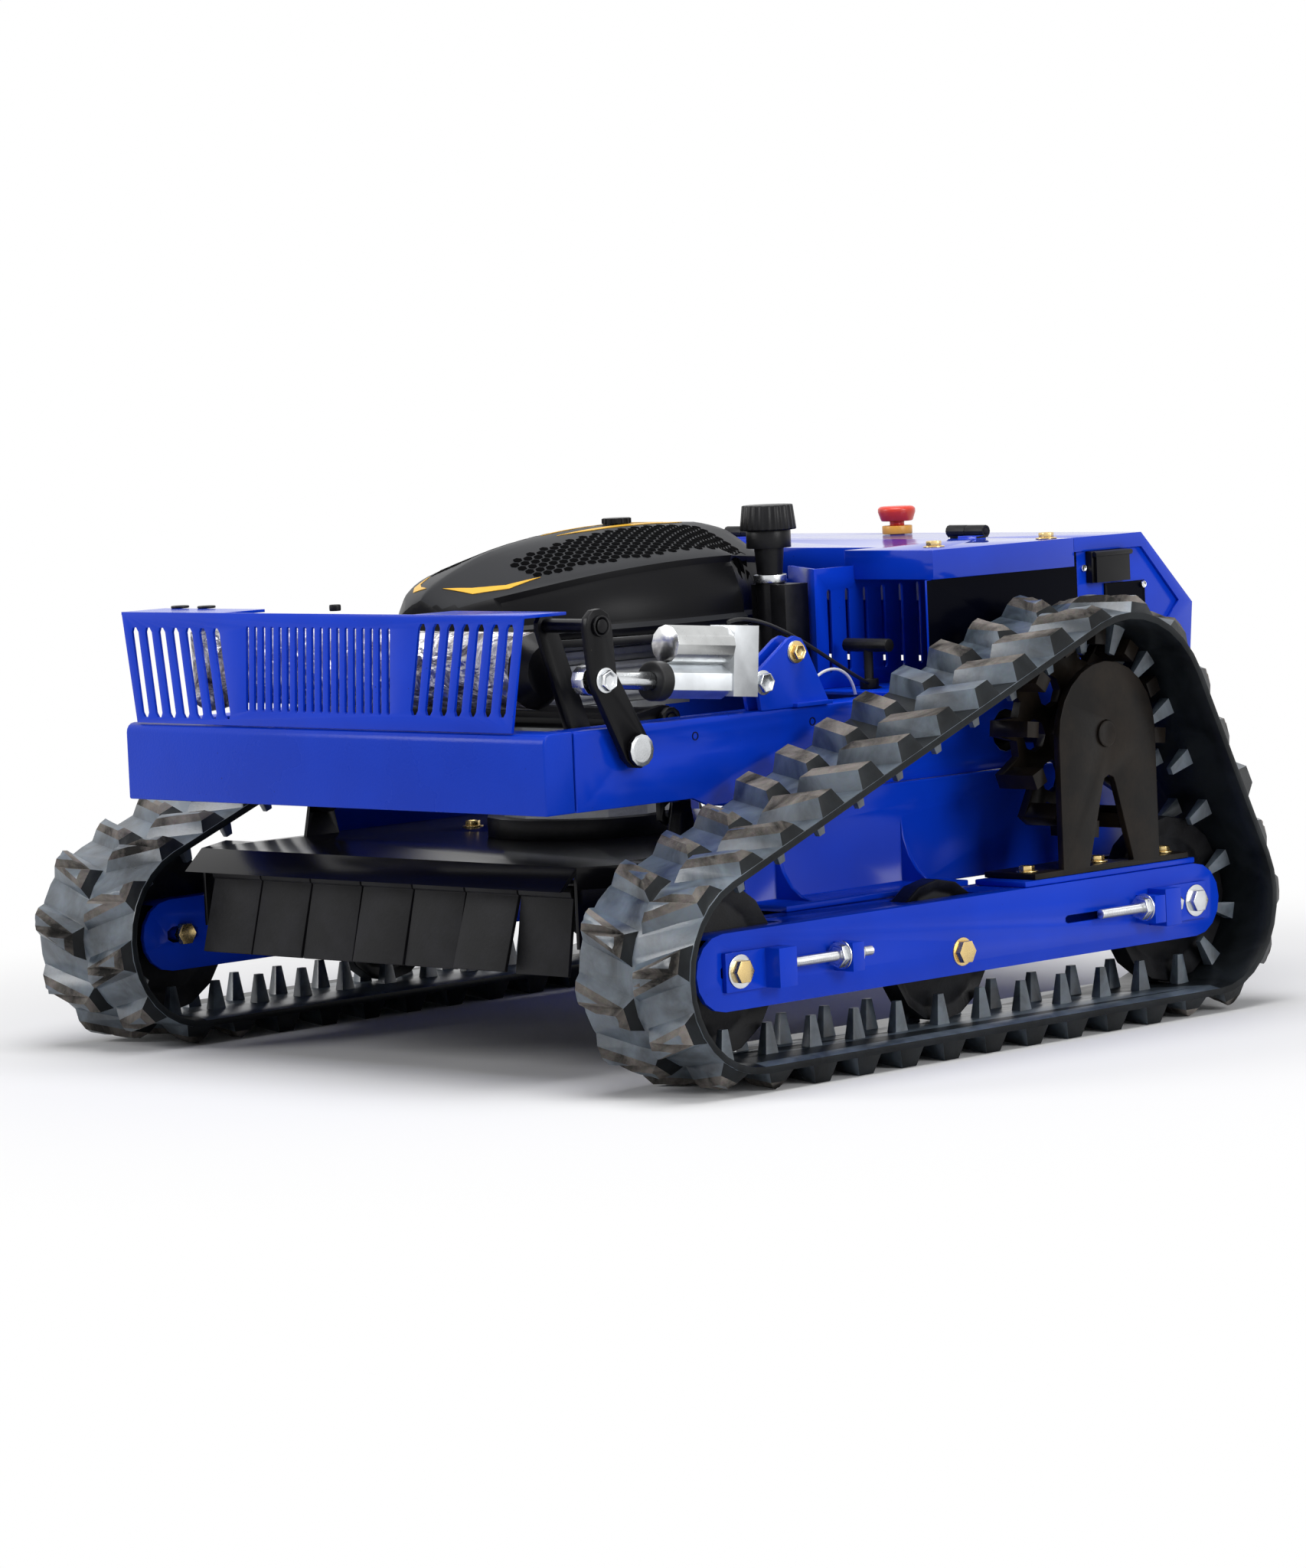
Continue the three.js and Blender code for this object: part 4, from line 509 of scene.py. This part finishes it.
tip_band = 0.0025
crest_inset = 0.0054
rim_drop = 0.0078
ragged_drop = 0.0009
lug_flank = 0.0235
torn_low, torn_high = 0.0068, 0.0019
horn_height = -0.006
horn_inner, horn_outer = 0.336, 0.478


def tear_lug_tips(belt):
    crest = tip_height(belt) - tip_band
    rim = {vertex.index for vertex in belt.data.vertices if height_over_belt(vertex.co) > crest}
    bpy.context.tool_settings.mesh_select_mode = (False, False, True)
    select_faces(belt, lambda face: height_over_belt(face.center) > crest)
    bpy.ops.mesh.inset(thickness=crest_inset, use_individual=True)
    bpy.ops.mesh.subdivide(number_cuts=2)
    bpy.ops.object.mode_set(mode="OBJECT")
    for index in rim:
        vertex = belt.data.vertices[index]
        vertex.co -= outward_over_belt(vertex.co) * rim_drop
    for vertex in belt.data.vertices:
        if vertex.index not in rim and height_over_belt(vertex.co) > crest:
            ragged = math.sin(vertex.co.x * 1900) * math.sin(vertex.co.y * 1500 + vertex.co.z * 1700)
            vertex.co -= outward_over_belt(vertex.co) * (ragged_drop + ragged_drop * ragged)


for side in ("left", "right"):
    belt = eased_copy(f"rubber_belt_{side}", 0.0016, body_rubber, rework=tear_lug_tips)
    tip = tip_height(belt)
    # Lug faces not turned sideways, and the horns, get the lighter blue grey: the rubber's own tone with painted
    # sheen.
    paint_where(belt, flank_sheen_rubber, lambda centre, normal: (
        (height_over_belt(centre) < horn_height and horn_inner < abs(centre.x) < horn_outer)
        or (abs(normal.x) < 0.8 and height_over_belt(centre) > tip - lug_flank)))
    paint_where(belt, torn_rubber, lambda centre, normal: (
        tip - torn_low < height_over_belt(centre) < tip - torn_high))

# Lift frame: welded arms and cross tube in satin black. Lever: a black waisted plate on its shaft, with
# a screw in its top spacer, a nut on the rod pin and the bright turned face of the pivot.
satin_black = coated_steel("satin_black", (0.004, 0.004, 0.005), (0.04, 0.035, 0.03), 0.3, 0.16, 0.03, 0.72)
lift_frame = eased_copy("lift_frame", 0.0012, satin_black)
pivot = (-0.363, 0.323)
paint_where(lift_frame, white_zinc, lambda centre, normal: (
    math.dist((centre.y, centre.z), pivot) < 0.0125 and abs(centre.x) > 0.3285 and abs(normal.x) > 0.9))
eased_copy("lift_lever", 0.0014, satin_black)
for side in ("left", "right"):
    eased_copy(f"lift_link_{side}", 0.0012, satin_black)
pivot_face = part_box("lift_frame")[1][0]
pin_face_model = shaped_head(36, 0.0132, 0.0014, 0, 0.0)
fitted_copy(pin_face_model, "pivot_pin_face", (pivot_face - 0.0011, *pivot), (1, 0, 0), "lift",
            white_zinc)
bpy.data.objects.remove(pin_face_model)
nut_model = shaped_head(6, 0.0105, 0.0075, 0.0125, 0.3)
fitted_copy(nut_model, "rod_pin_nut", (0.3242, -0.4034, 0.3935), (1, 0, 0), "lift", white_zinc, 0.4)
socket_model = shaped_head(24, 0.0105, 0.0045, 0, 0.9)
fitted_copy(socket_model, "lever_top_screw", (0.3242, -0.4087, 0.446), (1, 0, 0), "lift", satin_black)
bpy.data.objects.remove(socket_model)

# Actuator: bright anodised tube and chromed rod, a zinc coated motor can above it, and a cast gear
# housing. A black seal closes the front of the tube.
anodised = plated_metal("anodised_tube", (0.74, 0.77, 0.8), 0.38, 900, 0.05)
motor_can = plated_metal("motor_can", (0.55, 0.56, 0.56), 0.3, 700, 0.03)
end_cap = plated_metal("motor_end_cap", (0.74, 0.75, 0.75), 0.16, 300, 0.05)
gear_housing = plated_metal("gear_housing", (0.66, 0.68, 0.7), 0.5, 700, 0.05)
actuator = eased_copy("actuator_body", 0.0032, anodised, 3, 52)
tilt = math.atan2(0.0195, 0.2284)
rear_pin = Vector((0.3, -0.175, 0.374))
housing_front, motor_low, cap_depth = 0.0462, 0.0175, 0.016


def along_actuator(point):
    rel = point - rear_pin
    return -rel.y * math.cos(tilt) + rel.z * math.sin(tilt), rel.y * math.sin(tilt) + rel.z * math.cos(tilt)


def on_motor(centre, normal):
    ahead, above = along_actuator(centre)
    return ahead > housing_front and above > motor_low


paint_where(actuator, gear_housing, lambda centre, normal: along_actuator(centre)[0] < housing_front)
paint_where(actuator, motor_can, on_motor)
motor_front = max(along_actuator(vertex.co)[0] for vertex in actuator.data.vertices
                  if along_actuator(vertex.co)[1] > 0.03)
paint_where(actuator, end_cap, lambda centre, normal: (
    along_actuator(centre)[1] > motor_low and along_actuator(centre)[0] > motor_front - cap_depth))
eased_copy("actuator_rod", 0.0012, white_zinc, 2, 52)


def open_ring(name, sides, radius, depth, place, *insets):
    bpy.ops.mesh.primitive_cylinder_add(vertices=sides, radius=radius, depth=depth, location=place)
    ring = bpy.context.active_object
    ring.name = name
    select_faces(ring, lambda face: abs(face.normal.z) > 0.9)
    for step in insets:
        bpy.ops.mesh.inset(thickness=step)
    bpy.ops.mesh.bridge_edge_loops()
    bpy.ops.object.mode_set(mode="OBJECT")
    settle(ring)
    return ring


seal_black = scuffed_black("seal_black", (0.008, 0.008, 0.009), (0.02, 0.02, 0.02), 0.5, 0.3, 40, 0.1)
collar_ahead = 0.129
collar = open_ring("tube_collar", 40, 0.0196, 0.016, (0, 0, 0.008), 0.0035, 0.0075)
collar.data.transform(Matrix.Translation(rear_pin) @ Matrix.Rotation(math.radians(90) - tilt, 4, "X")
                      @ Matrix.Translation((0, 0, collar_ahead)))
soften(collar, 0.0018, 3, 40)
dress(collar, seal_black, body_of_node("actuator_body"))


# Actuator cable: a black sheathed lead from the back of the motor down to the tray, and a short white
# lead behind the bracket. Both lie loose in air and go back into the machine at their far ends.
def moulded_plastic(name, colour, roughness, gloss, grain_scale=700, bump_strength=0.12):
    finish, tree, shader, where = new_finish(name)
    shader.inputs["Specular IOR Level"].default_value = gloss
    clouds = add_noise(tree, where, 14, 5)
    grain = add_noise(tree, where, grain_scale, 3)
    shaded = [part * 0.84 for part in colour]
    tree.links.new(two_tones(tree, clouds, 0.32, shaded, 0.68, colour), shader.inputs["Base Color"])
    vary_sheen(tree, shader, clouds, roughness * 0.85, roughness * 1.2)
    add_bump(tree, shader, grain.outputs["Fac"], bump_strength, 0.0005)
    return finish


white_sheath = moulded_plastic("white_sheath", (0.75, 0.75, 0.74), 0.4, 0.4, 400, 0.04)
black_route = [(0.3, -0.208, 0.436), (0.296, -0.165, 0.446), (0.278, -0.075, 0.412), (0.262, 0.0, 0.365),
               (0.25, 0.062, 0.349)]
white_route = [(0.286, -0.083, 0.36), (0.286, -0.07, 0.381), (0.282, -0.03, 0.386), (0.277, -0.01, 0.369),
               (0.276, -0.005, 0.349)]
for name, route, thickness, finish, slot_name in (
        ("actuator_cable", black_route, 0.004, seal_black, "frame_black"),
        ("white_lead", white_route, 0.003, white_sheath, "case_plastic")):
    bpy.ops.curve.primitive_nurbs_path_add(location=(0, 0, 0))
    lead = bpy.context.active_object
    lead.name = name
    lead.data.name = name
    spline = lead.data.splines[0]
    for point, place in zip(spline.points, route):
        point.co = (*place, 1)
    spline.use_endpoint_u = True
    spline.resolution_u = 12
    lead.data.bevel_depth = thickness / 2
    lead.data.bevel_resolution = 5
    lead.data.use_fill_caps = True
    dress(lead, finish, "chassis")

# Actuator bracket: two blue cheeks on a foot welded to the rail, a zinc pin and nut behind the
# actuator, and a yellow zinc bolt with a washer through the boss.
bracket = eased_copy("actuator_bracket", 0.0012, blue_coat, 3)
paint_where(bracket, white_zinc, lambda centre, normal: (
    math.dist((centre.y, centre.z), (-0.175, 0.374)) < 0.0056))
cheek_face, boss = 0.3117, (-0.127, 0.401)
fitted_copy(nut_model, "bracket_pin_nut", (cheek_face, -0.175, 0.374), (1, 0, 0), "chassis",
            white_zinc, 0.1)
bpy.data.objects.remove(nut_model)
big_washer = shaped_head(30, 0.0115, 0.0014, 0, 0.0)
fitted_copy(big_washer, "bracket_washer", (cheek_face, *boss), (1, 0, 0), "chassis", white_zinc)
bpy.data.objects.remove(big_washer)
fitted_copy(bolt_model, "bracket_bolt", (0.3131, *boss), (1, 0, 0), "chassis", yellow_zinc)

# Mower deck: black coated sheet with a flared front hem and folded skirts. Its flaps are cut from
# dark grey rubber sheet, each hung by its eye. A yellow bolt holds the engine base from above.
deck_black = coated_steel("deck_black", (0.003, 0.003, 0.004), (0.02, 0.018, 0.016), 0.18, 0.16, 0.03, 0.72)
eased_copy("mower_deck", 0.0016, deck_black, 3)
flap_rubber = scuffed_black("flap_rubber", (0.006, 0.006, 0.007), (0.016, 0.016, 0.019), 0.45, 0.16, 20, 0.12)
for number in range(1, 8):
    eased_copy(f"rubber_flap_{number}", 0.0008, flap_rubber)
roof_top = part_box("engine_block")[0][2]
fitted_copy(bolt_model, "deck_bolt", (-0.167, -0.129, roof_top - 0.0003), (0, 0, 1), "mower", yellow_zinc,
            0.5)

# Blade: a flat bar of hardened steel with ground ends, on its spindle under the deck.
# It is bare metal, dull grey and finely scratched.
blade_steel = plated_metal("blade_steel", (0.35, 0.35, 0.36), 0.4, 300, 0.2)
eased_copy("cutting_blade", 0.0006, blade_steel)

# Engine: aluminium castings on a dark base disc, with a moulded black tank and filler neck beside them
# and a screw on cap. A hose clip closes the foot of the neck, and a flared black sleeve covers it.
casting = plated_metal("engine_casting", (0.4, 0.41, 0.42), 0.5, 420, 0.4)
tank_black = scuffed_black("tank_black", (0.004, 0.004, 0.005), (0.013, 0.013, 0.015), 0.36, 0.2, 22, 0.08)
disc_top, tank_side, neck_side = 0.2325, 0.1225, 0.1
neck_low, crown_low = 0.4275, 0.43
engine = eased_copy("engine_block", 0.0014, casting, 2, 40)
paint_where(engine, tank_black, lambda centre, normal: (
    centre.z < disc_top or centre.x > tank_side or (centre.z > neck_low and centre.x > neck_side)
    or centre.z > crown_low))
neck_x, neck_y = 0.155, 0.003
cap_top, cap_taper = 0.54, 0.9


def chamfer_cap(piece):
    for vertex in piece.data.vertices:
        if vertex.co.z > cap_top:
            vertex.co.x = neck_x + (vertex.co.x - neck_x) * cap_taper
            vertex.co.y = neck_y + (vertex.co.y - neck_y) * cap_taper


eased_copy("fuel_cap", 0.0014, tank_black, 3, rework=chamfer_cap)
clip = open_ring("neck_hose_clip", 36, 0.0172, 0.008, (neck_x, neck_y, 0.4655), 0.0016)
soften(clip, 0.0005, 2, 35)
dress(clip, white_zinc, "mower")
sleeve_middle, sleeve_bore, sleeve_flare = 0.483, 0.011, 0.16
sleeve = open_ring("neck_sleeve", 36, 0.0132, 0.0268, (neck_x, neck_y, 0.4834), 0.0042)
for vertex in sleeve.data.vertices:
    if vertex.co.z > sleeve_middle and math.dist(vertex.co.xy, (neck_x, neck_y)) > sleeve_bore:
        vertex.co.x += (vertex.co.x - neck_x) * sleeve_flare
        vertex.co.y += (vertex.co.y - neck_y) * sleeve_flare
pick_up(sleeve)
bpy.ops.object.shade_smooth_by_angle(angle=math.radians(35))
dress(sleeve, tank_black, "mower")
grip_black = scuffed_black("grip_black", (0.004, 0.004, 0.005), (0.012, 0.012, 0.014), 0.42, 0.2, 40, 0.1)
eased_copy("recoil_grip", 0.0014, grip_black, 3, 50)

# Muffler: a drum across the front of the engine, wrapped by hand in crumpled heat foil tape.
# Its left end is bare and black, and a wad of folded foil closes its right end.
foil, tree, shader, where = new_finish("crumpled_foil")
shader.inputs["Metallic"].default_value = 1
folds = tree.nodes.new("ShaderNodeTexVoronoi")
folds.inputs["Scale"].default_value = 42
warp = add_noise(tree, where, 28, 6, 0.5, 1.6)
shift = tree.nodes.new("ShaderNodeVectorMath")
shift.operation = "MULTIPLY_ADD"
shift.inputs[1].default_value = (0.05, 0.05, 0.05)
tree.links.new(warp.outputs["Color"], shift.inputs[0])
tree.links.new(where.outputs["Object"], shift.inputs[2])
tree.links.new(shift.outputs["Vector"], folds.inputs["Vector"])
tone = two_tones(tree, warp, 0.38, (0.2, 0.18, 0.2), 0.58, (0.8, 0.79, 0.8))
tree.links.new(tone, shader.inputs["Base Color"])
vary_sheen(tree, shader, warp, 0.2, 0.42)
height = tree.nodes.new("ShaderNodeMath")
tree.links.new(folds.outputs["Distance"], height.inputs[0])
tree.links.new(warp.outputs["Fac"], height.inputs[1])
add_bump(tree, shader, height.outputs[0], 1.0, 0.012)

bare_end = 0.186
muffler = eased_copy("muffler", 0.004, foil, 3, 50)
paint_where(muffler, tank_black, lambda centre, normal: centre.x > bare_end)
bpy.ops.mesh.primitive_cube_add(size=1, location=(-0.246, -0.408, 0.4), scale=(0.034, 0.044, 0.088))
end_wrap = bpy.context.active_object
end_wrap.name = "muffler_end_wrap"
bpy.ops.object.mode_set(mode="EDIT")
bpy.ops.mesh.select_all(action="SELECT")
bpy.ops.mesh.bevel(offset=0.013, segments=3)
bpy.ops.mesh.select_all(action="SELECT")
bpy.ops.mesh.subdivide(number_cuts=3)
bpy.ops.object.mode_set(mode="OBJECT")
settle(end_wrap)
for vertex in end_wrap.data.vertices:
    crease = math.sin(vertex.co.y * 190 + vertex.co.z * 130) * math.sin(vertex.co.z * 240 + vertex.co.x * 170)
    vertex.co.y += 0.0022 * crease
    vertex.co.z += 0.0018 * crease
pick_up(end_wrap)
bpy.ops.object.shade_smooth_by_angle(angle=math.radians(60))
dress(end_wrap, foil, "mower")


# Engine cowl: injection moulded in charcoal, with a field of honeycomb air holes on each side of the
# crest, a recessed flank below the ridge, painted shade on every steep face, and plain yellow trim along the crest
# and at the nose.
flank_slope, flank_lean = 0.62, 0.3
flank_inner, flank_low = 0.07, 0.43


def shape_cowl(piece):
    bpy.ops.object.mode_set(mode="EDIT")
    bpy.ops.mesh.select_all(action="SELECT")
    bpy.ops.mesh.tris_convert_to_quads(face_threshold=math.radians(60), shape_threshold=math.radians(70))
    bpy.ops.mesh.select_mode(type="EDGE")
    bpy.ops.mesh.select_all(action="DESELECT")
    bpy.ops.mesh.edges_select_sharp(sharpness=math.radians(30))
    bpy.ops.transform.edge_crease(value=0.62)
    bpy.ops.object.mode_set(mode="OBJECT")
    rounded = piece.modifiers.new("rounded", "SUBSURF")
    rounded.levels = 2
    bpy.ops.object.modifier_apply(modifier="rounded")
    bpy.context.tool_settings.mesh_select_mode = (False, False, True)
    select_faces(piece, lambda face: (
        face.normal.x * face.center.x > 0 and abs(face.normal.x) > flank_lean and face.normal.z < flank_slope
        and abs(face.center.x) > flank_inner and face.center.z > flank_low))
    bpy.ops.mesh.inset(thickness=0.005, depth=-0.0045)
    bpy.ops.object.mode_set(mode="OBJECT")


cowl_charcoal = moulded_plastic("cowl_charcoal", (0.017, 0.018, 0.021), 0.44, 0.13)
steep_face_shade = moulded_plastic("steep_face_shade", (0.005, 0.005, 0.006), 0.34, 0.1)
cowl = eased_copy("engine_cowl", 0.0012, cowl_charcoal, 2, 50, shape_cowl)
# Every face steeper than flank_slope is painted near black as painted shade.
paint_where(cowl, steep_face_shade, lambda centre, normal: normal.z < flank_slope)


def lie_on_cowl(piece, finish, above, thickness):
    wrap = piece.modifiers.new("laid", "SHRINKWRAP")
    wrap.target = cowl
    wrap.wrap_method = "PROJECT"
    wrap.use_project_z = True
    wrap.use_negative_direction = True
    wrap.use_positive_direction = False
    wrap.offset = above
    pick_up(piece)
    bpy.ops.object.modifier_apply(modifier="laid")
    body = piece.modifiers.new("body", "SOLIDIFY")
    body.thickness = thickness
    body.offset = 0
    bpy.ops.object.modifier_apply(modifier="body")
    dress(piece, finish, "mower")


cell_pitch = 0.0108
# Each air hole is a thin near black hexagon laid on the cowl: painted shade standing in for the open hole.
air_hole_shade = scuffed_black("air_hole_shade", (0.001, 0.001, 0.0012), (0.003, 0.003, 0.0035), 0.9, 0.02, 60, 0.05)
bpy.ops.mesh.primitive_circle_add(vertices=6, radius=cell_pitch * 0.45, fill_type="NGON",
                                  location=(-0.13, -0.25, 0.56))
cells = bpy.context.active_object
cells.name = "cowl_air_cells"
settle(cells)
for count, step in ((26, (cell_pitch, 0, 0)), (2, (cell_pitch / 2, cell_pitch * 0.866, 0)),
                    (15, (0, cell_pitch * 1.732, 0))):
    row = cells.modifiers.new("row", "ARRAY")
    row.count = count
    row.use_relative_offset = False
    row.use_constant_offset = True
    row.constant_offset_displace = step
    bpy.ops.object.modifier_apply(modifier="row")


def in_air_field(place):
    aside = abs(place.x)
    return 0.034 < aside < min(0.34 * place.y + 0.169, 0.123) and -0.272 < place.y < 0.012


select_faces(cells, lambda face: not in_air_field(face.center))
bpy.ops.mesh.delete(type="FACE")
bpy.ops.object.mode_set(mode="OBJECT")
lie_on_cowl(cells, air_hole_shade, 0.0003, 0.0004)

# Cowl trim: two tapered strips beside the crest and two wings at the nose, in thin yellow plastic.
# They are plain shapes that lie on the cowl and follow its curve.
trim_yellow = moulded_plastic("trim_yellow", (0.82, 0.46, 0.035), 0.35, 0.3, 900, 0.05)
crest_strip = [(0.012, -0.16), (0.021, -0.12), (0.026, -0.06), (0.022, -0.01), (0.014, 0.02), (0.016, -0.06)]
nose_wing = [(0.012, -0.322), (0.044, -0.311), (0.07, -0.285), (0.082, -0.252), (0.063, -0.283), (0.038, -0.305)]
for name, outline in (("crest_strip", crest_strip), ("nose_wing", nose_wing)):
    for sign, hand in ((1, "left"), (-1, "right")):
        bpy.ops.mesh.primitive_circle_add(vertices=len(outline), radius=0.01, fill_type="NGON", location=(0, 0, 0.56))
        strip = bpy.context.active_object
        strip.name = f"{name}_{hand}"
        settle(strip)
        for vertex, (x, y) in zip(strip.data.vertices, outline):
            vertex.co.x, vertex.co.y = sign * x, y
        bpy.ops.object.mode_set(mode="EDIT")
        bpy.ops.mesh.select_all(action="SELECT")
        bpy.ops.mesh.quads_convert_to_tris()
        bpy.ops.mesh.subdivide(number_cuts=5, smoothness=0)
        bpy.ops.object.mode_set(mode="OBJECT")
        lie_on_cowl(strip, trim_yellow, 0.0005, 0.0006)

# Cowl vent cap: a small black moulding pushed into the crest.
# Its rim is ridged all round.
bpy.ops.mesh.primitive_cylinder_add(vertices=28, radius=0.0145, depth=0.006, location=(0.0, -0.062, 0.529))
vent_cap = bpy.context.active_object
vent_cap.name = "cowl_vent_cap"
select_faces(vent_cap, lambda face: abs(face.normal.z) < 0.5 and face.index % 2 == 0)
bpy.ops.mesh.inset(thickness=0.0005, use_individual=True)
bpy.ops.mesh.extrude_faces_move(TRANSFORM_OT_shrink_fatten={"value": 0.0012})
bpy.ops.object.mode_set(mode="OBJECT")
settle(vent_cap)
soften(vent_cap, 0.0006, 2)
dress(vent_cap, tank_black, "mower")

# Rear box: blue side panels, a lid on two black barrel hinges, and a rear cover. Its flank below the lid is
# painted near black ahead of panel_edge. Yellow zinc bolts hold the lid's corner.
near_black_coat = coated_steel("near_black_coat", (0.001, 0.0015, 0.005), (0.006, 0.006, 0.012), 0.2, 0.04)
lid_coat = coated_steel("lid_coat", (0.003, 0.047, 0.6), (0.003, 0.014, 0.12), 0.08, 0.34, 0.006)
hinge_line = (0.2955, 0.4972)
hinge_x, hinge_half, hinge_radius = 0.165, 0.03, 0.0075
panel_edge = 0.302
tail_low, tail_rear, tail_shift = 0.353, 0.4, 0.062


def straighten_tail(piece):
    for vertex in piece.data.vertices:
        if vertex.co.z < tail_low and vertex.co.y > tail_rear:
            vertex.co.y += tail_shift


for side in ("left", "right"):
    panel = eased_copy(f"box_side_{side}", 0.0006, blue_coat, rework=straighten_tail)
    pick_up(panel)
    bpy.ops.object.mode_set(mode="EDIT")
    bpy.ops.mesh.select_all(action="SELECT")
    bpy.ops.mesh.bisect(plane_co=(0, panel_edge, 0), plane_no=(0, 1, 0))
    bpy.ops.object.mode_set(mode="OBJECT")
    # The side panel's faces ahead of panel_edge are painted near black.
    paint_where(panel, near_black_coat, lambda centre, normal: centre.y < panel_edge and abs(normal.x) > 0.5)
for node in ("box_lid", "rear_cover"):
    piece = eased_copy(node, 0.0014, lid_coat, 3, rework=straighten_tail)
    paint_where(piece, grip_black, lambda centre, normal: (
        math.dist((centre.y, centre.z), hinge_line) < hinge_radius and abs(abs(centre.x) - hinge_x) < hinge_half))
eased_copy("vent_guard", 0.0008, blue_coat)
for count, place in enumerate(((0.2677, 0.1299, 0.4897), (0.2904, 0.2783, 0.4897))):
    fitted_copy(bolt_model, f"lid_bolt_{count + 1}", place, (0, 0, 1), "lid", yellow_zinc, 0.4)
bpy.data.objects.remove(bolt_model)

# Battery case: a black moulded box under the lid. Charge socket: a black moulding with two ears on the
# box's side, two small screws, and a hinged cap. A black service plate is screwed on below it.
case_black = moulded_plastic("case_black", (0.005, 0.005, 0.006), 0.36, 0.2)
for node in ("battery_case", "charge_socket", "socket_cap"):
    eased_copy(node, 0.0012, case_black, 3)
box_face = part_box("box_side_left")[1][0]
bpy.ops.mesh.primitive_cube_add(size=1, location=(box_face + 0.0012, 0.3755, 0.4025))
plate = bpy.context.active_object
plate.name = "service_plate"
plate.scale = (0.0018, 0.064, 0.073)
bpy.ops.object.transform_apply(location=True, rotation=False, scale=True)
select_faces(plate, lambda face: face.normal.x > 0.9)
bpy.ops.mesh.inset(thickness=0.004)
bpy.ops.transform.translate(value=(-0.0006, 0, 0))
bpy.ops.object.mode_set(mode="OBJECT")
soften(plate, 0.0005, 2)
dress(plate, near_black_coat, "chassis")
screw_model = shaped_head(20, 0.0036, 0.0028, 0, 0.5)
for name, place in (("plate_screw", (box_face + 0.0021, 0.4035, 0.4345)),
                    ("socket_screw_front", (box_face, 0.3115, 0.457)),
                    ("socket_screw_rear", (box_face, 0.3795, 0.457))):
    fitted_copy(screw_model, name, place, (1, 0, 0), "chassis", white_zinc)
bpy.data.objects.remove(screw_model)

# Emergency stop: a red mushroom head on a yellow collar, both moulded in plastic.
# It is clamped through the top of the rear cover, and the head is pressed down to stop the machine.
stop_red = moulded_plastic("stop_red", (0.78, 0.045, 0.02), 0.3, 0.5, 900, 0.04)
stop_yellow = moulded_plastic("stop_yellow", (0.9, 0.42, 0.05), 0.36, 0.5, 900, 0.04)
eased_copy("stop_head", 0.0012, stop_red, 3, 60)
eased_copy("stop_collar", 0.0008, stop_yellow)
